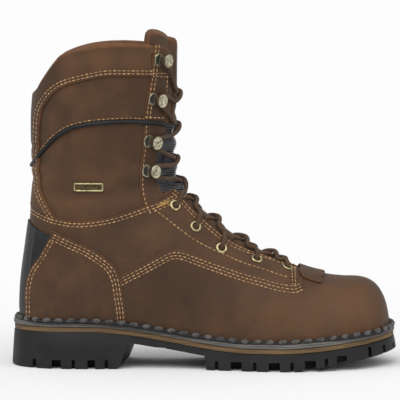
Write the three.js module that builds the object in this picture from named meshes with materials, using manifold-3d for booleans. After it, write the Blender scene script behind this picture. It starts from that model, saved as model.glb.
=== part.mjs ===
// A right logger boot, 9 inches tall: lasted leather upper, lugged rubber outsole with a raised heel,
// stitched storm welt, padded tongue, and round laces over five pairs of eyelets and four pairs of hooks.
// Millimetres, +Z up, toe along +X. The outer side of the foot faces -Y.
// While the pieces are made, X is 0 at the back of the heel, Y is 0 on the last's own centre plane
// and Z is 0 on the floor.

import * as THREE from "three";
import { mergeVertices } from "three/addons/utils/BufferGeometryUtils.js";
import Module from "manifold-3d";

const wasm = await Module();
wasm.setup();

// Overall sizes
const soleLength = 320;
const ballWidth = 118;
const heelWidth = 81;
const ankleHeight = 155;
const collarHeight = 268;
const shaftWidth = 90;

// Sole sizes
const heelHeight = 29.7;
const foreSoleHeight = 13.7;
const archThickness = 5.6;
const toeSpring = 9.4;
const toeThinning = 3.2;
const lugDepth = 7;
const heelFlare = 2;
const midsoleThickness = 4;
const weltThickness = 3.4;
const weltWidth = 15;
const stormRise = 1.8;
const stormWidth = 2.6;
const breastRake = 8.5;
const breastSkew = 8;
const wideNotch = 9;
const thinNotch = 2.8;
const wideNotchDepth = 16;
const thinNotchDepth = 7;
const toeNotch = 3.4;
const treadBand = 19;
const treadChannel = 4.5;

// Upper sizes
const upperWall = 2.6;
const quarterStep = 1.2;
const vampStep = 2.3;
const counterStep = 3.3;
const collarStep = 1.9;
const facingStep = 1.2;
const facingHiddenStep = 0.6;
const collarPadding = 4.5;
const throatHalfWidth = 16;
const throatToeHalfWidth = 9;
const insoleThickness = 3.2;

// Heel strip, tongue, kiltie, piping and badge sizes
const stripThickness = 2.1;
const tongueThickness = 3.2;
const tongueBulge = 1.6;
const tongueGap = 1.1;
const tongueHalfWidth = 37;
const tongueWingAngle = 0.9;
const kiltieThickness = 1.8;
const pipingRadius = 1.5;
const badgeWidth = 24.5;
const badgeHeight = 7.6;
const badgeThickness = 0.9;
const badgeRim = 1.1;

// Lacing sizes
const eyeletRadius = 4.5;
const eyeletHoleRadius = 2.6;
const eyeletBarrel = 0.7;
const eyeletFlange = 0.9;
const eyeletInset = 8;
const eyeletLift = 0.4;
const hookInset = 13.5;
const hookHeadWidth = 8.4;
const hookHeadHeight = 10.8;
const hookHeadThickness = 1.2;
const hookStandoff = 6;
const hookStemRadius = 1.9;
const hookBaseRadius = 4.2;
const hookLift = 0.1;
const hookFootThickness = 1;
const hookStemReach = 7.5;
const hookHeadReach = 5.5;
const laceRadius = 1.8;
const laceLift = 2.8;

// Free space kept between two pieces that touch
const clearance = 0.3;

// Detail of the curved surfaces
const ringPoints = 24;
const innerRingPoints = 20;
const stepsPerSection = 0.9;
const outlinePoints = 44;

// The outsole's outline from above, from the heel to the toe.
// along: share of soleLength; outer and inner: shares of half the ball width or half the heel width.
const outlineColumns = ["along", "outer", "inner"];
const outlineRows = [
  [0.0, 0.0, 0.0],
  [0.018, 0.46, 0.46],
  [0.055, 0.75, 0.74],
  [0.11, 0.94, 0.93],
  [0.185, 1.0, 0.99],
  [0.28, 0.985, 0.95],
  [0.37, 0.935, 0.87],
  [0.46, 0.88, 0.74],
  [0.55, 0.896, 0.745],
  [0.64, 0.97, 0.875],
  [0.71, 1.013, 0.98],
  [0.78, 0.983, 0.988],
  [0.85, 0.873, 0.924],
  [0.915, 0.67, 0.78],
  [0.965, 0.39, 0.576],
  [0.99, 0.144, 0.356],
  [1.0, -0.12, 0.12],
];

// Sections of the upper. Each lies in a plane across the boot that holds its top and bottom points,
// seen from the side: the top point runs up the vamp and the shaft's front, the bottom point runs
// along the sole and up the back.
// topAlong, bottomAlong: shares of soleLength. topRise, bottomRise: see heightOf.
// outer, inner, ridge: half widths and the ridge's shift, shares of the ball or the shaft width.
// widest: where the section is widest, as a share of the way up. topForm, bottomForm: its squareness.
const sectionColumns = [
  "name", "topAlong", "topRise", "bottomAlong", "bottomRise",
  "outer", "inner", "ridge", "widest", "topForm", "bottomForm",
];
const footRows = [
  ["toe_tip", 0.9756, 0.239, 0.9756, 0.129, 0.034, 0.034, 0.038, 0.35, 2.4, 3.0],
  ["toe_front", 0.9725, 0.277, 0.9725, 0.123, 0.106, 0.114, 0.037, 0.3, 2.4, 3.2],
  ["toe_bend", 0.9669, 0.326, 0.9675, 0.116, 0.165, 0.174, 0.036, 0.28, 2.3, 3.4],
  ["toe_edge", 0.9581, 0.371, 0.96, 0.11, 0.22, 0.229, 0.034, 0.26, 2.3, 3.6],
  ["toe_round", 0.9444, 0.412, 0.9475, 0.103, 0.271, 0.278, 0.032, 0.24, 2.3, 3.8],
  ["toe_crown", 0.9234, 0.441, 0.9281, 0.097, 0.322, 0.326, 0.03, 0.22, 2.3, 4.0],
  ["toe_top", 0.8969, 0.453, 0.9031, 0.09, 0.36, 0.36, 0.026, 0.21, 2.3, 4.0],
  ["toe_back", 0.8594, 0.455, 0.8656, 0.084, 0.398, 0.394, 0.022, 0.2, 2.25, 4.0],
  ["vamp_front", 0.8156, 0.466, 0.8156, 0.077, 0.428, 0.419, 0.017, 0.19, 2.25, 4.0],
  ["ball", 0.7656, 0.497, 0.75, 0.065, 0.445, 0.428, 0.01, 0.18, 2.2, 4.0],
  ["vamp_mid", 0.7125, 0.539, 0.6719, 0.058, 0.428, 0.404, -0.01, 0.19, 2.25, 4.0],
  ["vamp_back", 0.6625, 0.587, 0.5906, 0.058, 0.382, 0.34, -0.022, 0.2, 2.35, 4.0],
  ["waist_front", 0.6125, 0.639, 0.5094, 0.071, 0.326, 0.296, -0.027, 0.22, 2.45, 3.8],
  ["waist", 0.5625, 0.706, 0.425, 0.097, 0.3, 0.282, -0.024, 0.24, 2.55, 3.6],
  ["instep_low", 0.5141, 0.784, 0.3312, 0.116, 0.309, 0.296, -0.014, 0.27, 2.6, 3.4],
  ["instep", 0.4734, 0.858, 0.2313, 0.116, 0.326, 0.321, -0.004, 0.3, 2.6, 3.1],
  ["instep_top", 0.4453, 0.929, 0.1313, 0.11, 0.331, 0.326, 0, 0.34, 2.6, 2.8],
  ["heel_corner", 0.4297, 1.0, 0.0437, 0.129, 0.324, 0.324, 0, 0.38, 2.6, 2.4],
];
const shaftRows = [
  ["heel_low", 0.4219, 1.088, 0.0263, 0.271, 0.411, 0.414, 0, 0.42, 2.55, 2.15],
  ["heel_round", 0.4194, 1.186, 0.0263, 0.4, 0.403, 0.407, 0, 0.43, 2.5, 2.1],
  ["heel_top", 0.4194, 1.292, 0.0319, 0.529, 0.403, 0.407, 0, 0.44, 2.5, 2.1],
  ["counter_top", 0.4206, 1.398, 0.0412, 0.658, 0.411, 0.414, 0, 0.45, 2.45, 2.1],
  ["ankle_low", 0.4219, 1.504, 0.0497, 0.781, 0.422, 0.426, 0, 0.46, 2.45, 2.1],
  ["ankle", 0.4228, 1.602, 0.055, 0.897, 0.436, 0.438, 0, 0.47, 2.4, 2.1],
  ["ankle_top", 0.4234, 1.699, 0.06, 1.004, 0.449, 0.451, 0, 0.48, 2.4, 2.1],
  ["shaft_low", 0.4241, 1.788, 0.0575, 1.15, 0.462, 0.464, 0, 0.49, 2.4, 2.1],
  ["shaft_mid", 0.4247, 1.867, 0.0556, 1.301, 0.476, 0.477, 0, 0.5, 2.4, 2.1],
  ["shaft_high", 0.425, 1.938, 0.0563, 1.46, 0.488, 0.489, 0, 0.5, 2.4, 2.1],
  ["collar", 0.4256, 2.018, 0.06, 1.628, 0.498, 0.498, 0, 0.5, 2.4, 2.1],
  ["above_collar", 0.4263, 2.115, 0.0641, 1.805, 0.506, 0.506, 0, 0.5, 2.4, 2.1],
  ["open_end", 0.427, 2.26, 0.071, 2.11, 0.512, 0.512, 0, 0.5, 2.4, 2.1],
];

// Lines of the panels seen from the side: [share of soleLength, rise].
const collarLine = [
  [0.031, 1.593], [0.053, 1.628], [0.072, 1.677], [0.083, 1.73], [0.103, 1.814], [0.123, 1.885],
  [0.139, 1.926], [0.172, 1.961], [0.212, 1.987], [0.259, 2.0], [0.312, 2.0], [0.362, 1.989],
  [0.394, 1.973], [0.409, 1.947], [0.419, 1.903], [0.428, 1.841],
];
const quarterTopLine = [
  [0.02, 0.86], [0.06, 0.838], [0.102, 0.803], [0.155, 0.782], [0.197, 0.782], [0.245, 0.795],
  [0.287, 0.817], [0.344, 0.857], [0.388, 0.89], [0.45, 0.95],
];
const vampTopLine = [
  [0.256, 0.458], [0.284, 0.492], [0.33, 0.54], [0.374, 0.588], [0.402, 0.618], [0.422, 0.627],
  [0.447, 0.621], [0.483, 0.594], [0.527, 0.56], [0.596, 0.512], [0.65, 0.481], [0.703, 0.452],
  [0.738, 0.45], [0.76, 0.52],
];
const counterFrontLine = [
  [0.107, 0.732], [0.155, 0.686], [0.199, 0.646], [0.235, 0.601], [0.263, 0.555], [0.282, 0.488],
  [0.291, 0.387], [0.298, 0.284], [0.302, 0.16],
];
const counterRearLine = [
  [0.107, 0.7], [0.08, 0.594], [0.058, 0.524], [0.047, 0.46], [0.042, 0.385], [0.042, 0.31],
  [0.042, 0.16],
];
const collarPanelLine = [
  [0.372, 1.757], [0.298, 1.76], [0.244, 1.757], [0.191, 1.726], [0.147, 1.69], [0.119, 1.642],
  [0.102, 1.589], [0.089, 1.527], [0.08, 1.454], [0.076, 1.288], [0.074, 1.108], [0.074, 1.006],
  [0.078, 0.931], [0.086, 0.88],
];
const facingLine = [
  [0.372, 2.02], [0.362, 1.757], [0.347, 1.46], [0.342, 1.2], [0.336, 1.05], [0.34, 0.9],
  [0.36, 0.8],
];
const pipingLine = [
  [0.066, 1.135], [0.102, 1.261], [0.138, 1.347], [0.173, 1.39], [0.227, 1.417], [0.298, 1.427],
  [0.345, 1.42],
];
const tongueTopLine = [
  [0.31, 1.965], [0.336, 2.005], [0.344, 2.049], [0.354, 2.064], [0.374, 2.078], [0.395, 2.057],
  [0.416, 2.013], [0.426, 1.984], [0.436, 1.9],
];
// Half of the kiltie's edge from above, with its fringe: shares of soleLength and of ballWidth.
const kiltieEdge = [
  [0.747, 0], [0.745, 0.1], [0.742, 0.17], [0.752, 0.235], [0.797, 0.235], [0.799, 0.18],
  [0.789, 0.165], [0.804, 0.15], [0.806, 0.075], [0.793, 0.06], [0.809, 0.045], [0.81, 0],
];
const badgeSpot = [0.2033, 0.963];

// Notches along both edges of the outsole, as shares of soleLength, with their widths.
const edgeNotches = [
  [0.062, thinNotch], [0.119, wideNotch * 0.85], [0.163, thinNotch], [0.209, wideNotch * 0.7],
  [0.248, thinNotch], [0.531, thinNotch], [0.581, wideNotch], [0.628, thinNotch], [0.678, wideNotch],
  [0.723, thinNotch], [0.77, wideNotch], [0.811, thinNotch], [0.851, wideNotch * 0.9],
];
const toeNotchDegrees = [-62, -38, -13, 13, 38, 62];
const crossChannels = [0.1, 0.185, 0.556, 0.604, 0.652, 0.7, 0.748, 0.796, 0.844];

// The throat and the tongue, in sections of the upper counted from the toe: where they start, and
// where the throat has its full width.
const throatStart = 9.35;
const throatFull = 13;
const tongueStart = 8.9;
const kiltieStation = 9;

// The pairs of eyelets and hooks, by section along the throat, from the toe up.
const eyeletStations = [9.97, 11.45, 13.04, 14.4, 15.9];
const hookStations = [19.45, 21.2, 23.65, 26.5];

// Number helpers

function blend(from, to, share) {
  return from + (to - from) * share;
}

function smooth(share) {
  const held = Math.min(1, Math.max(0, share));
  return held * held * (3 - 2 * held);
}

function throughFour(before, from, to, after, share) {
  const slope = to - before;
  const bend = 2 * before - 5 * from + 4 * to - after;
  const twist = 3 * from - before - 3 * to + after;
  return from + 0.5 * share * (slope + share * (bend + share * twist));
}

// A height given by its rise: 0 to 1 runs from the floor to the ankle, 1 to 2 from there to the collar.
function heightOf(rise) {
  return rise <= 1 ? rise * ankleHeight : blend(ankleHeight, collarHeight, rise - 1);
}

function named(columns, row) {
  return Object.fromEntries(columns.map((column, i) => [column, row[i]]));
}

// Solids: closed surfaces turned into solids that can be joined and cut

function solidOf(geometry) {
  const bare = geometry.clone();
  bare.deleteAttribute("normal");
  bare.deleteAttribute("uv");
  const merged = mergeVertices(bare, 1e-4);
  const made = new wasm.Manifold(
    new wasm.Mesh({
      numProp: 3,
      vertProperties: new Float32Array(merged.attributes.position.array),
      triVerts: new Uint32Array(merged.index.array),
    }),
  );
  return made;
}

function geometryOf(solid) {
  const mesh = solid.getMesh();
  const geometry = new THREE.BufferGeometry();
  geometry.setAttribute("position", new THREE.BufferAttribute(mesh.vertProperties, 3));
  geometry.setIndex(new THREE.BufferAttribute(mesh.triVerts, 1));
  return geometry;
}

// A closed body through rings of points; every ring has as many points and both ends are capped.
function bodyThrough(rings) {
  const count = rings[0].length;
  const middles = [rings[0], rings[rings.length - 1]].map((ring) =>
    ring.reduce((sum, point) => sum.add(point), new THREE.Vector3()).divideScalar(count),
  );
  const points = [...rings.flat(), ...middles];
  const first = points.length - 2;
  const last = points.length - 1;
  const faces = [];
  for (let i = 0; i < count; i++) {
    const next = (i + 1) % count;
    faces.push([first, next, i]);
    for (let k = 0; k < rings.length - 1; k++) {
      const a = k * count;
      const b = a + count;
      faces.push([a + i, a + next, b + next]);
      faces.push([a + i, b + next, b + i]);
    }
    const end = (rings.length - 1) * count;
    faces.push([last, end + i, end + next]);
  }
  const geometry = new THREE.BufferGeometry().setFromPoints(points);
  geometry.setIndex(faces.flat());
  const body = solidOf(geometry);
  if (body.volume() > 0) return body;
  geometry.setIndex(faces.map(([a, b, c]) => [a, c, b]).flat());
  return solidOf(geometry);
}

// A prism across the boot over an outline seen from the side: points are [x, z].
const halfSpan = ballWidth;
function sidePrism(points, fromY = -halfSpan, toY = halfSpan) {
  const shape = new THREE.Shape(points.map(([x, z]) => new THREE.Vector2(x, z)));
  const geometry = new THREE.ExtrudeGeometry(shape, { depth: toY - fromY, bevelEnabled: false });
  geometry.rotateX(Math.PI / 2);
  geometry.translate(0, toY, 0);
  return solidOf(geometry);
}

// A line of the tables as points in millimetres, smoothed.
function sideLine(table, pieces = 2) {
  const picks = table.map(([along, rise]) => new THREE.Vector2(along * soleLength, heightOf(rise)));
  return new THREE.SplineCurve(picks).getPoints((picks.length - 1) * pieces).map((p) => [p.x, p.y]);
}

// A round bar along a path of points
function barAlong(points, radius, sides, steps) {
  const path = new THREE.CatmullRomCurve3(points);
  const section = new THREE.Shape();
  for (let i = 0; i < sides; i++) {
    const turn = (2 * Math.PI * i) / sides;
    const x = radius * Math.cos(turn);
    const y = radius * Math.sin(turn);
    if (i === 0) section.moveTo(x, y);
    else section.lineTo(x, y);
  }
  const geometry = new THREE.ExtrudeGeometry(section, { steps, extrudePath: path, bevelEnabled: false });
  return solidOf(geometry);
}

// The sole's curves

// Height of the outsole's top, and of its underside, over a place along the boot.
const breastAlong = 0.29;
const archEndAlong = 0.5;
const springStart = 0.7;
function springAt(x) {
  return Math.max(0, (x / soleLength - springStart) / (1 - springStart)) ** 1.4;
}

function outsoleTop(x) {
  const drop = smooth((x / soleLength - 0.195) / 0.425);
  return blend(heelHeight, foreSoleHeight, drop) + toeSpring * springAt(x);
}

function outsoleFloor(x) {
  return (toeSpring + toeThinning) * springAt(x);
}

function midsoleTop(x) {
  return outsoleTop(x) + clearance + midsoleThickness;
}

function weltTop(x) {
  return midsoleTop(x) + clearance + weltThickness;
}

// Points of a height curve from the heel to the toe, past both ends of the sole.
function heightCurve(height, lift = 0) {
  const overhang = 12;
  const steps = 22;
  const points = [];
  for (let i = 0; i <= steps; i++) {
    const x = blend(-overhang, soleLength + overhang, i / steps);
    const held = Math.min(soleLength, Math.max(0, x));
    points.push([x, height(held) + lift]);
  }
  return points;
}

function slab(lower, upper) {
  return sidePrism([...lower, ...upper.slice().reverse()]);
}

function flatCurve(z) {
  return heightCurve(() => z);
}

// The outline of the sole from above, drawn in by an inset.
function halfWidthAt(along) {
  return blend(heelWidth, ballWidth, smooth((along - 0.3) / 0.34)) / 2;
}

function outlineLoop(inset, count = outlinePoints) {
  const rows = outlineRows.map((row) => named(outlineColumns, row));
  const side = (row, share) => new THREE.Vector3(row.along * soleLength, share * halfWidthAt(row.along), 0);
  const outerSide = rows.map((row) => side(row, -row.outer));
  const innerSide = rows.slice(1, -1).map((row) => side(row, row.inner)).reverse();
  const curve = new THREE.CatmullRomCurve3([...outerSide, ...innerSide], true, "centripetal");
  const loop = [];
  for (let i = 0; i < count; i++) {
    const tangent = curve.getTangentAt(i / count);
    const inward = new THREE.Vector3(-tangent.y, tangent.x, 0).normalize();
    loop.push(curve.getPointAt(i / count).addScaledVector(inward, inset));
  }
  return loop;
}

// An upright body over the sole's outline; the inset may change from its foot to its head.
function outlineBody(footInset, headInset, count = outlinePoints, foot = -20, head = 90) {
  const ring = (inset, z) => outlineLoop(inset, count).map((p) => new THREE.Vector3(p.x, p.y, z));
  return bodyThrough([ring(footInset, foot), ring(headInset, head)]);
}

// The upper's own surface

const sections = [
  ...footRows.map((row) => ({ ...named(sectionColumns, row), width: ballWidth })),
  ...shaftRows.map((row) => ({ ...named(sectionColumns, row), width: shaftWidth })),
].map((row) => ({
  topX: row.topAlong * soleLength,
  topZ: heightOf(row.topRise),
  bottomX: row.bottomAlong * soleLength,
  bottomZ: heightOf(row.bottomRise),
  outer: row.outer * row.width,
  inner: row.inner * row.width,
  ridge: row.ridge * row.width,
  widest: row.widest,
  topForm: row.topForm,
  bottomForm: row.bottomForm,
}));
const lastStation = sections.length - 1;

function sectionAt(station) {
  const index = Math.min(lastStation - 1, Math.max(0, Math.floor(station)));
  const share = station - index;
  const pick = (i) => sections[Math.min(lastStation, Math.max(0, i))];
  const four = [pick(index - 1), pick(index), pick(index + 1), pick(index + 2)];
  const mixed = {};
  for (const key of Object.keys(sections[0])) {
    mixed[key] = throughFour(...four.map((row) => row[key]), share);
  }
  return mixed;
}

// A point of the upper's surface: angle 0 is the ridge of vamp and shaft, half a turn the back or the sole.
// Negative angles are on the outer side of the foot.
function basePoint(station, angle) {
  const section = sectionAt(station);
  const turn = Math.abs(angle);
  const across = Math.sin(turn);
  const up = Math.cos(turn);
  const form = up > 0 ? section.topForm : section.bottomForm;
  const reach = (Math.abs(up) ** form + Math.abs(across) ** form) ** (-1 / form);
  const span = up > 0 ? 1 - section.widest : section.widest;
  const height = section.widest + span * reach * up;
  const half = (angle < 0 ? -section.outer : section.inner) * reach * across;
  return new THREE.Vector3(
    blend(section.bottomX, section.topX, height),
    section.ridge + half,
    blend(section.bottomZ, section.topZ, height),
  );
}

function baseNormal(station, angle) {
  const nudge = 0.02;
  const low = Math.max(0, station - nudge);
  const high = Math.min(lastStation, station + nudge);
  const along = basePoint(high, angle).sub(basePoint(low, angle));
  const around = basePoint(station, angle + nudge).sub(basePoint(station, angle - nudge));
  return around.cross(along).normalize();
}

function upperPoint(station, angle, offset = 0) {
  return basePoint(station, angle).addScaledVector(baseNormal(station, angle), offset);
}

// The angle at which the surface is a given distance from the ridge, on the upper half of a section.
// Distances and angles are negative on the outer side.
function angleAt(station, distance) {
  const side = distance < 0 ? -1 : 1;
  const { ridge } = sectionAt(station);
  let low = 0;
  let high = Math.PI / 2;
  for (let i = 0; i < 24; i++) {
    const angle = (low + high) / 2;
    if (side * (basePoint(station, side * angle).y - ridge) < Math.abs(distance)) low = angle;
    else high = angle;
  }
  return (side * (low + high)) / 2;
}

// How far the surface stands from the ridge, across the boot, at an angle
function reachAt(station, angle) {
  return Math.abs(basePoint(station, angle).y - sectionAt(station).ridge);
}

// The last's form with its surface moved out or in by an offset, a number or a function of the place.
function lastForm(offset, count = ringPoints, steps = stepsPerSection) {
  const offsetAt = typeof offset === "function" ? offset : () => offset;
  const rings = [];
  const total = Math.round(lastStation * steps);
  for (let k = 0; k <= total; k++) {
    const station = (lastStation * k) / total;
    const ring = [];
    for (let i = 0; i < count; i++) {
      const angle = (2 * Math.PI * i) / count - Math.PI;
      ring.push(upperPoint(station, angle, offsetAt(station, angle)));
    }
    rings.push(ring);
  }
  return bodyThrough(rings);
}

// Regions of the panels, as prisms across the boot

const farBack = -40;
const farFront = soleLength + 40;
const belowFloor = -30;

function quarterRegion() {
  const line = throughEnds(sideLine(quarterTopLine));
  return sidePrism([[farBack, belowFloor], ...line, [farFront, belowFloor]]);
}

// A line carried on level past the heel and past the toe
function throughEnds(line) {
  return [[farBack, line[0][1]], ...line, [farFront, line[line.length - 1][1]]];
}

// The space above a line that is carried on past both ends
function spaceAbove(line) {
  const top = heightOf(2.6);
  return sidePrism([...throughEnds(line), [farFront, top], [farBack, top]]);
}

function vampRegion() {
  const line = sideLine(vampTopLine);
  const above = heightOf(1.2);
  const front = [[line[line.length - 1][0], above], [farFront, above], [farFront, belowFloor]];
  return sidePrism([[line[0][0], belowFloor], ...line, ...front]);
}

function counterRegion() {
  const front = sideLine(counterFrontLine);
  const rear = sideLine(counterRearLine).map(([x, z]) => [x + clearance, z]);
  return sidePrism([...front, ...rear.reverse()]);
}

// The strip at the back of the heel; it can be grown to keep other panels clear of it.
const stripTopRise = 0.77;
function stripRegion(growth = 0) {
  const line = sideLine(counterRearLine).map(([x, z]) => [x + growth, z]);
  const corner = line[0];
  const top = heightOf(stripTopRise) + growth;
  return sidePrism([
    [farBack, belowFloor],
    [farBack, top],
    [corner[0] * 0.45, top],
    [corner[0], corner[1] + growth + 2],
    ...line,
    [line[line.length - 1][0], belowFloor],
  ]);
}

function collarRegion() {
  const line = sideLine(collarPanelLine);
  const last = line[line.length - 1];
  const top = heightOf(2.3);
  return sidePrism([[line[0][0], top], ...line, [farBack, last[1]], [farBack, top]]);
}

function facingRegion() {
  const line = sideLine(facingLine);
  const top = heightOf(2.3);
  const last = line[line.length - 1];
  return sidePrism([[line[0][0], top], ...line, [farFront, last[1]], [farFront, top]]);
}

// The throat, and what lies along it

function throatHalfAt(station) {
  const share = smooth((station - throatStart) / (throatFull - throatStart));
  return blend(throatToeHalfWidth, throatHalfWidth, share);
}

// A strip of space along the throat, from below the surface to above it
function throatSpace() {
  const rings = [];
  const steps = 36;
  for (let i = 0; i <= steps; i++) {
    const station = blend(throatStart, lastStation, i / steps);
    const section = sectionAt(station);
    const half = throatHalfAt(station);
    const corner = (height, side) =>
      new THREE.Vector3(
        blend(section.bottomX, section.topX, height),
        section.ridge + side * half,
        blend(section.bottomZ, section.topZ, height),
      );
    rings.push([corner(0.72, -1), corner(0.72, 1), corner(1.3, 1), corner(1.3, -1)]);
  }
  return bodyThrough(rings);
}

// A frame on the throat's edge: x towards the throat, y along it, z out of the leather.
function lacingFrame(station, side, inset, offset) {
  const reach = (at) => side * (throatHalfAt(at) + inset);
  const angle = angleAt(station, reach(station));
  const place = upperPoint(station, angle, offset);
  const out = baseNormal(station, angle);
  const next = station + 0.1;
  const further = upperPoint(next, angleAt(next, reach(next)), offset);
  const up = further.sub(place).multiplyScalar(-side);
  up.addScaledVector(out, -up.dot(out)).normalize();
  const inward = up.clone().cross(out).normalize();
  return new THREE.Matrix4().makeBasis(inward, up, out).setPosition(place);
}

// Holes through the leather for the eyelets' barrels
function eyeletHoles() {
  const depth = 14;
  const radius = eyeletHoleRadius + eyeletBarrel + clearance;
  const holes = [];
  for (const station of eyeletStations) {
    for (const side of [-1, 1]) {
      const hole = new THREE.CylinderGeometry(radius, radius, depth, 10);
      hole.rotateX(Math.PI / 2);
      hole.applyMatrix4(lacingFrame(station, side, eyeletInset, 0));
      holes.push(solidOf(hole));
    }
  }
  return holes;
}

// Pieces of the sole

function lugCuts() {
  const cuts = [];
  const cutLength = 40;
  for (const [along, width] of edgeNotches) {
    const x = along * soleLength;
    const top = outsoleFloor(x) + lugDepth;
    const reach = width > thinNotch ? wideNotchDepth : thinNotchDepth;
    for (const side of [-1, 1]) {
      const y = edgeAt(along, side) + side * (cutLength / 2 - reach);
      const box = new THREE.BoxGeometry(width, cutLength, cutLength);
      box.translate(x, y, top - cutLength / 2);
      cuts.push(solidOf(box));
    }
  }
  // Notches around the toe, square to its round edge
  const toeRadius = 28;
  const toeCentre = [0.86 * soleLength, 0.03 * ballWidth];
  const toeTop = outsoleFloor(0.96 * soleLength) + lugDepth;
  for (const degrees of toeNotchDegrees) {
    const box = new THREE.BoxGeometry(cutLength, toeNotch, cutLength);
    box.translate(toeRadius + cutLength / 2, 0, 0);
    box.rotateZ((degrees * Math.PI) / 180);
    box.translate(toeCentre[0], toeCentre[1], toeTop - cutLength / 2);
    cuts.push(solidOf(box));
  }
  return cuts;
}

// The sole's edge seen from above, on one side
function edgeAt(along, side) {
  const rows = outlineRows.map((row) => named(outlineColumns, row));
  const next = rows.findIndex((row) => row.along >= along);
  const from = rows[Math.max(0, next - 1)];
  const to = rows[next];
  const share = (along - from.along) / (to.along - from.along || 1);
  const width = side < 0 ? blend(from.outer, to.outer, share) : blend(from.inner, to.inner, share);
  return side * width * halfWidthAt(along);
}

// Channels between the edge lugs and the lugs of the middle, and across the middle
function treadChannels() {
  const under = slab(flatCurve(belowFloor), heightCurve(outsoleFloor, lugDepth));
  const middle = outlineBody(treadBand + treadChannel, treadBand + treadChannel, 32);
  const ring = outlineBody(treadBand, treadBand, 32).subtract(middle);
  const across = crossChannels.map((along) => {
    const box = new THREE.BoxGeometry(treadChannel, ballWidth, 60);
    box.translate(along * soleLength, 0, 0);
    return solidOf(box).intersect(middle);
  });
  return wasm.Manifold.union([ring, ...across]).intersect(under);
}

function outsoleSolid() {
  const body = outlineBody(-0.2, heelFlare, outlinePoints, 0, heelHeight + 8).intersect(
    slab(heightCurve(outsoleFloor), heightCurve(outsoleTop)),
  );
  const breast = breastAlong * soleLength;
  const archEnd = archEndAlong * soleLength;
  const archTop = (x) => outsoleTop(x) - archThickness;
  const arch = [[breast, belowFloor], [breast, 0], [breast + breastRake, archTop(breast + breastRake)]];
  for (let i = 1; i <= 8; i++) {
    const x = blend(breast + breastRake, archEnd, i / 8);
    arch.push([x, archTop(x)]);
  }
  arch.push([archEnd + 1.5, 0], [archEnd + 1.5, belowFloor]);
  const archSpace = sidePrism(arch).warp((point) => {
    point[0] += (point[1] / heelWidth) * breastSkew * (point[0] < (breast + archEnd) / 2 ? 1 : 0);
  });
  return wasm.Manifold.difference([body, archSpace, treadChannels(), ...lugCuts()]);
}

function midsoleSolid() {
  const inset = heelFlare;
  return outlineBody(inset, inset).intersect(
    slab(heightCurve(outsoleTop, clearance), heightCurve(midsoleTop)),
  );
}

// The welt: a flat strip round the upper's foot, with a raised lip that lies against the leather.
function weltSolid() {
  const strip = outlineBody(heelFlare * 0.6, heelFlare * 0.6)
    .subtract(outlineBody(weltWidth, weltWidth, 40))
    .intersect(slab(heightCurve(midsoleTop, clearance), heightCurve(weltTop)));
  const split = soleLength * 0.31;
  const lipFoot = heightCurve(midsoleTop, clearance + weltThickness / 2);
  const lipSlab = slab(lipFoot, heightCurve(weltTop, stormRise));
  const lipOver = (step, from, to) => {
    const inner = lastForm(step + clearance);
    const outer = lastForm(step + clearance + stormWidth);
    const part = sidePrism([[from, belowFloor], [to, belowFloor], [to, 90], [from, 90]]);
    return outer.intersect(part).intersect(lipSlab).subtract(inner);
  };
  const lip = lipOver(counterStep, farBack, split).add(lipOver(vampStep, split, farFront));
  return strip.add(lip);
}

// Pieces of the upper

// The collar's panel thins out where the facing covers it.
function collarStepAt(station, angle) {
  return blend(facingHiddenStep, collarStep, smooth((Math.abs(angle) - 0.75) / 0.35));
}

function paddingAt(station, angle) {
  const high = smooth((station - 24.5) / 3);
  const back = smooth((Math.abs(angle) - 1.15) / 0.5);
  return collarPadding * high * back;
}

function upperSolid() {
  const layer = (step, region) => lastForm(step).intersect(region);
  const stripSpace = stripRegion(clearance);
  const outer = wasm.Manifold.union([
    lastForm(0),
    layer(quarterStep, quarterRegion().subtract(stripSpace)),
    layer(vampStep, vampRegion()),
    layer(counterStep, counterRegion().subtract(stripSpace)),
    layer(facingStep, facingRegion()),
    layer(collarStepAt, collarRegion()),
  ]);
  const inner = lastForm((station, angle) => -upperWall - paddingAt(station, angle), innerRingPoints);
  const below = slab(flatCurve(belowFloor), heightCurve(weltTop, clearance));
  const groove = barAlong(pipingPath(), pipingRadius + clearance, 6, 30);
  const aboveCollar = spaceAbove(sideLine(collarLine));
  const cuts = [inner, below, aboveCollar, throatSpace(), groove, ...eyeletHoles()];
  return wasm.Manifold.difference([outer, ...cuts]);
}

function pipingPath() {
  const line = pipingLine.map(([along, rise]) => [along * soleLength, heightOf(rise)]);
  const side = (sign) => line.map(([x, z]) => pointOverSide(x, z, sign, pipingRadius * 0.8));
  const back = upperPoint(stationAtBack(line[0][1] - 5), Math.PI, collarStep + pipingRadius * 0.5);
  return [...side(-1).reverse(), back, ...side(1)];
}

// The station whose back point lies at a height
function stationAtBack(z) {
  let low = sections.length / 2;
  let high = lastStation;
  for (let i = 0; i < 24; i++) {
    const station = (low + high) / 2;
    if (sectionAt(station).bottomZ < z) low = station;
    else high = station;
  }
  return (low + high) / 2;
}

// The point of the surface that lies at x and z seen from the side; sign -1 is the outer side.
function pointOverSide(x, z, sign, offset) {
  let low = 0;
  let high = lastStation;
  const side = (station) => {
    const s = sectionAt(station);
    return (s.topX - s.bottomX) * (z - s.bottomZ) - (s.topZ - s.bottomZ) * (x - s.bottomX);
  };
  for (let i = 0; i < 30; i++) {
    const station = (low + high) / 2;
    if (side(station) > 0) low = station;
    else high = station;
  }
  const station = (low + high) / 2;
  const s = sectionAt(station);
  const length = (s.topX - s.bottomX) ** 2 + (s.topZ - s.bottomZ) ** 2;
  const heightAt = (px, pz) =>
    ((px - s.bottomX) * (s.topX - s.bottomX) + (pz - s.bottomZ) * (s.topZ - s.bottomZ)) / length;
  const height = heightAt(x, z);
  let first = 0;
  let second = Math.PI;
  for (let i = 0; i < 30; i++) {
    const angle = (first + second) / 2;
    const point = basePoint(station, angle);
    if (heightAt(point.x, point.z) > height) first = angle;
    else second = angle;
  }
  return upperPoint(station, sign * first, offset);
}

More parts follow.
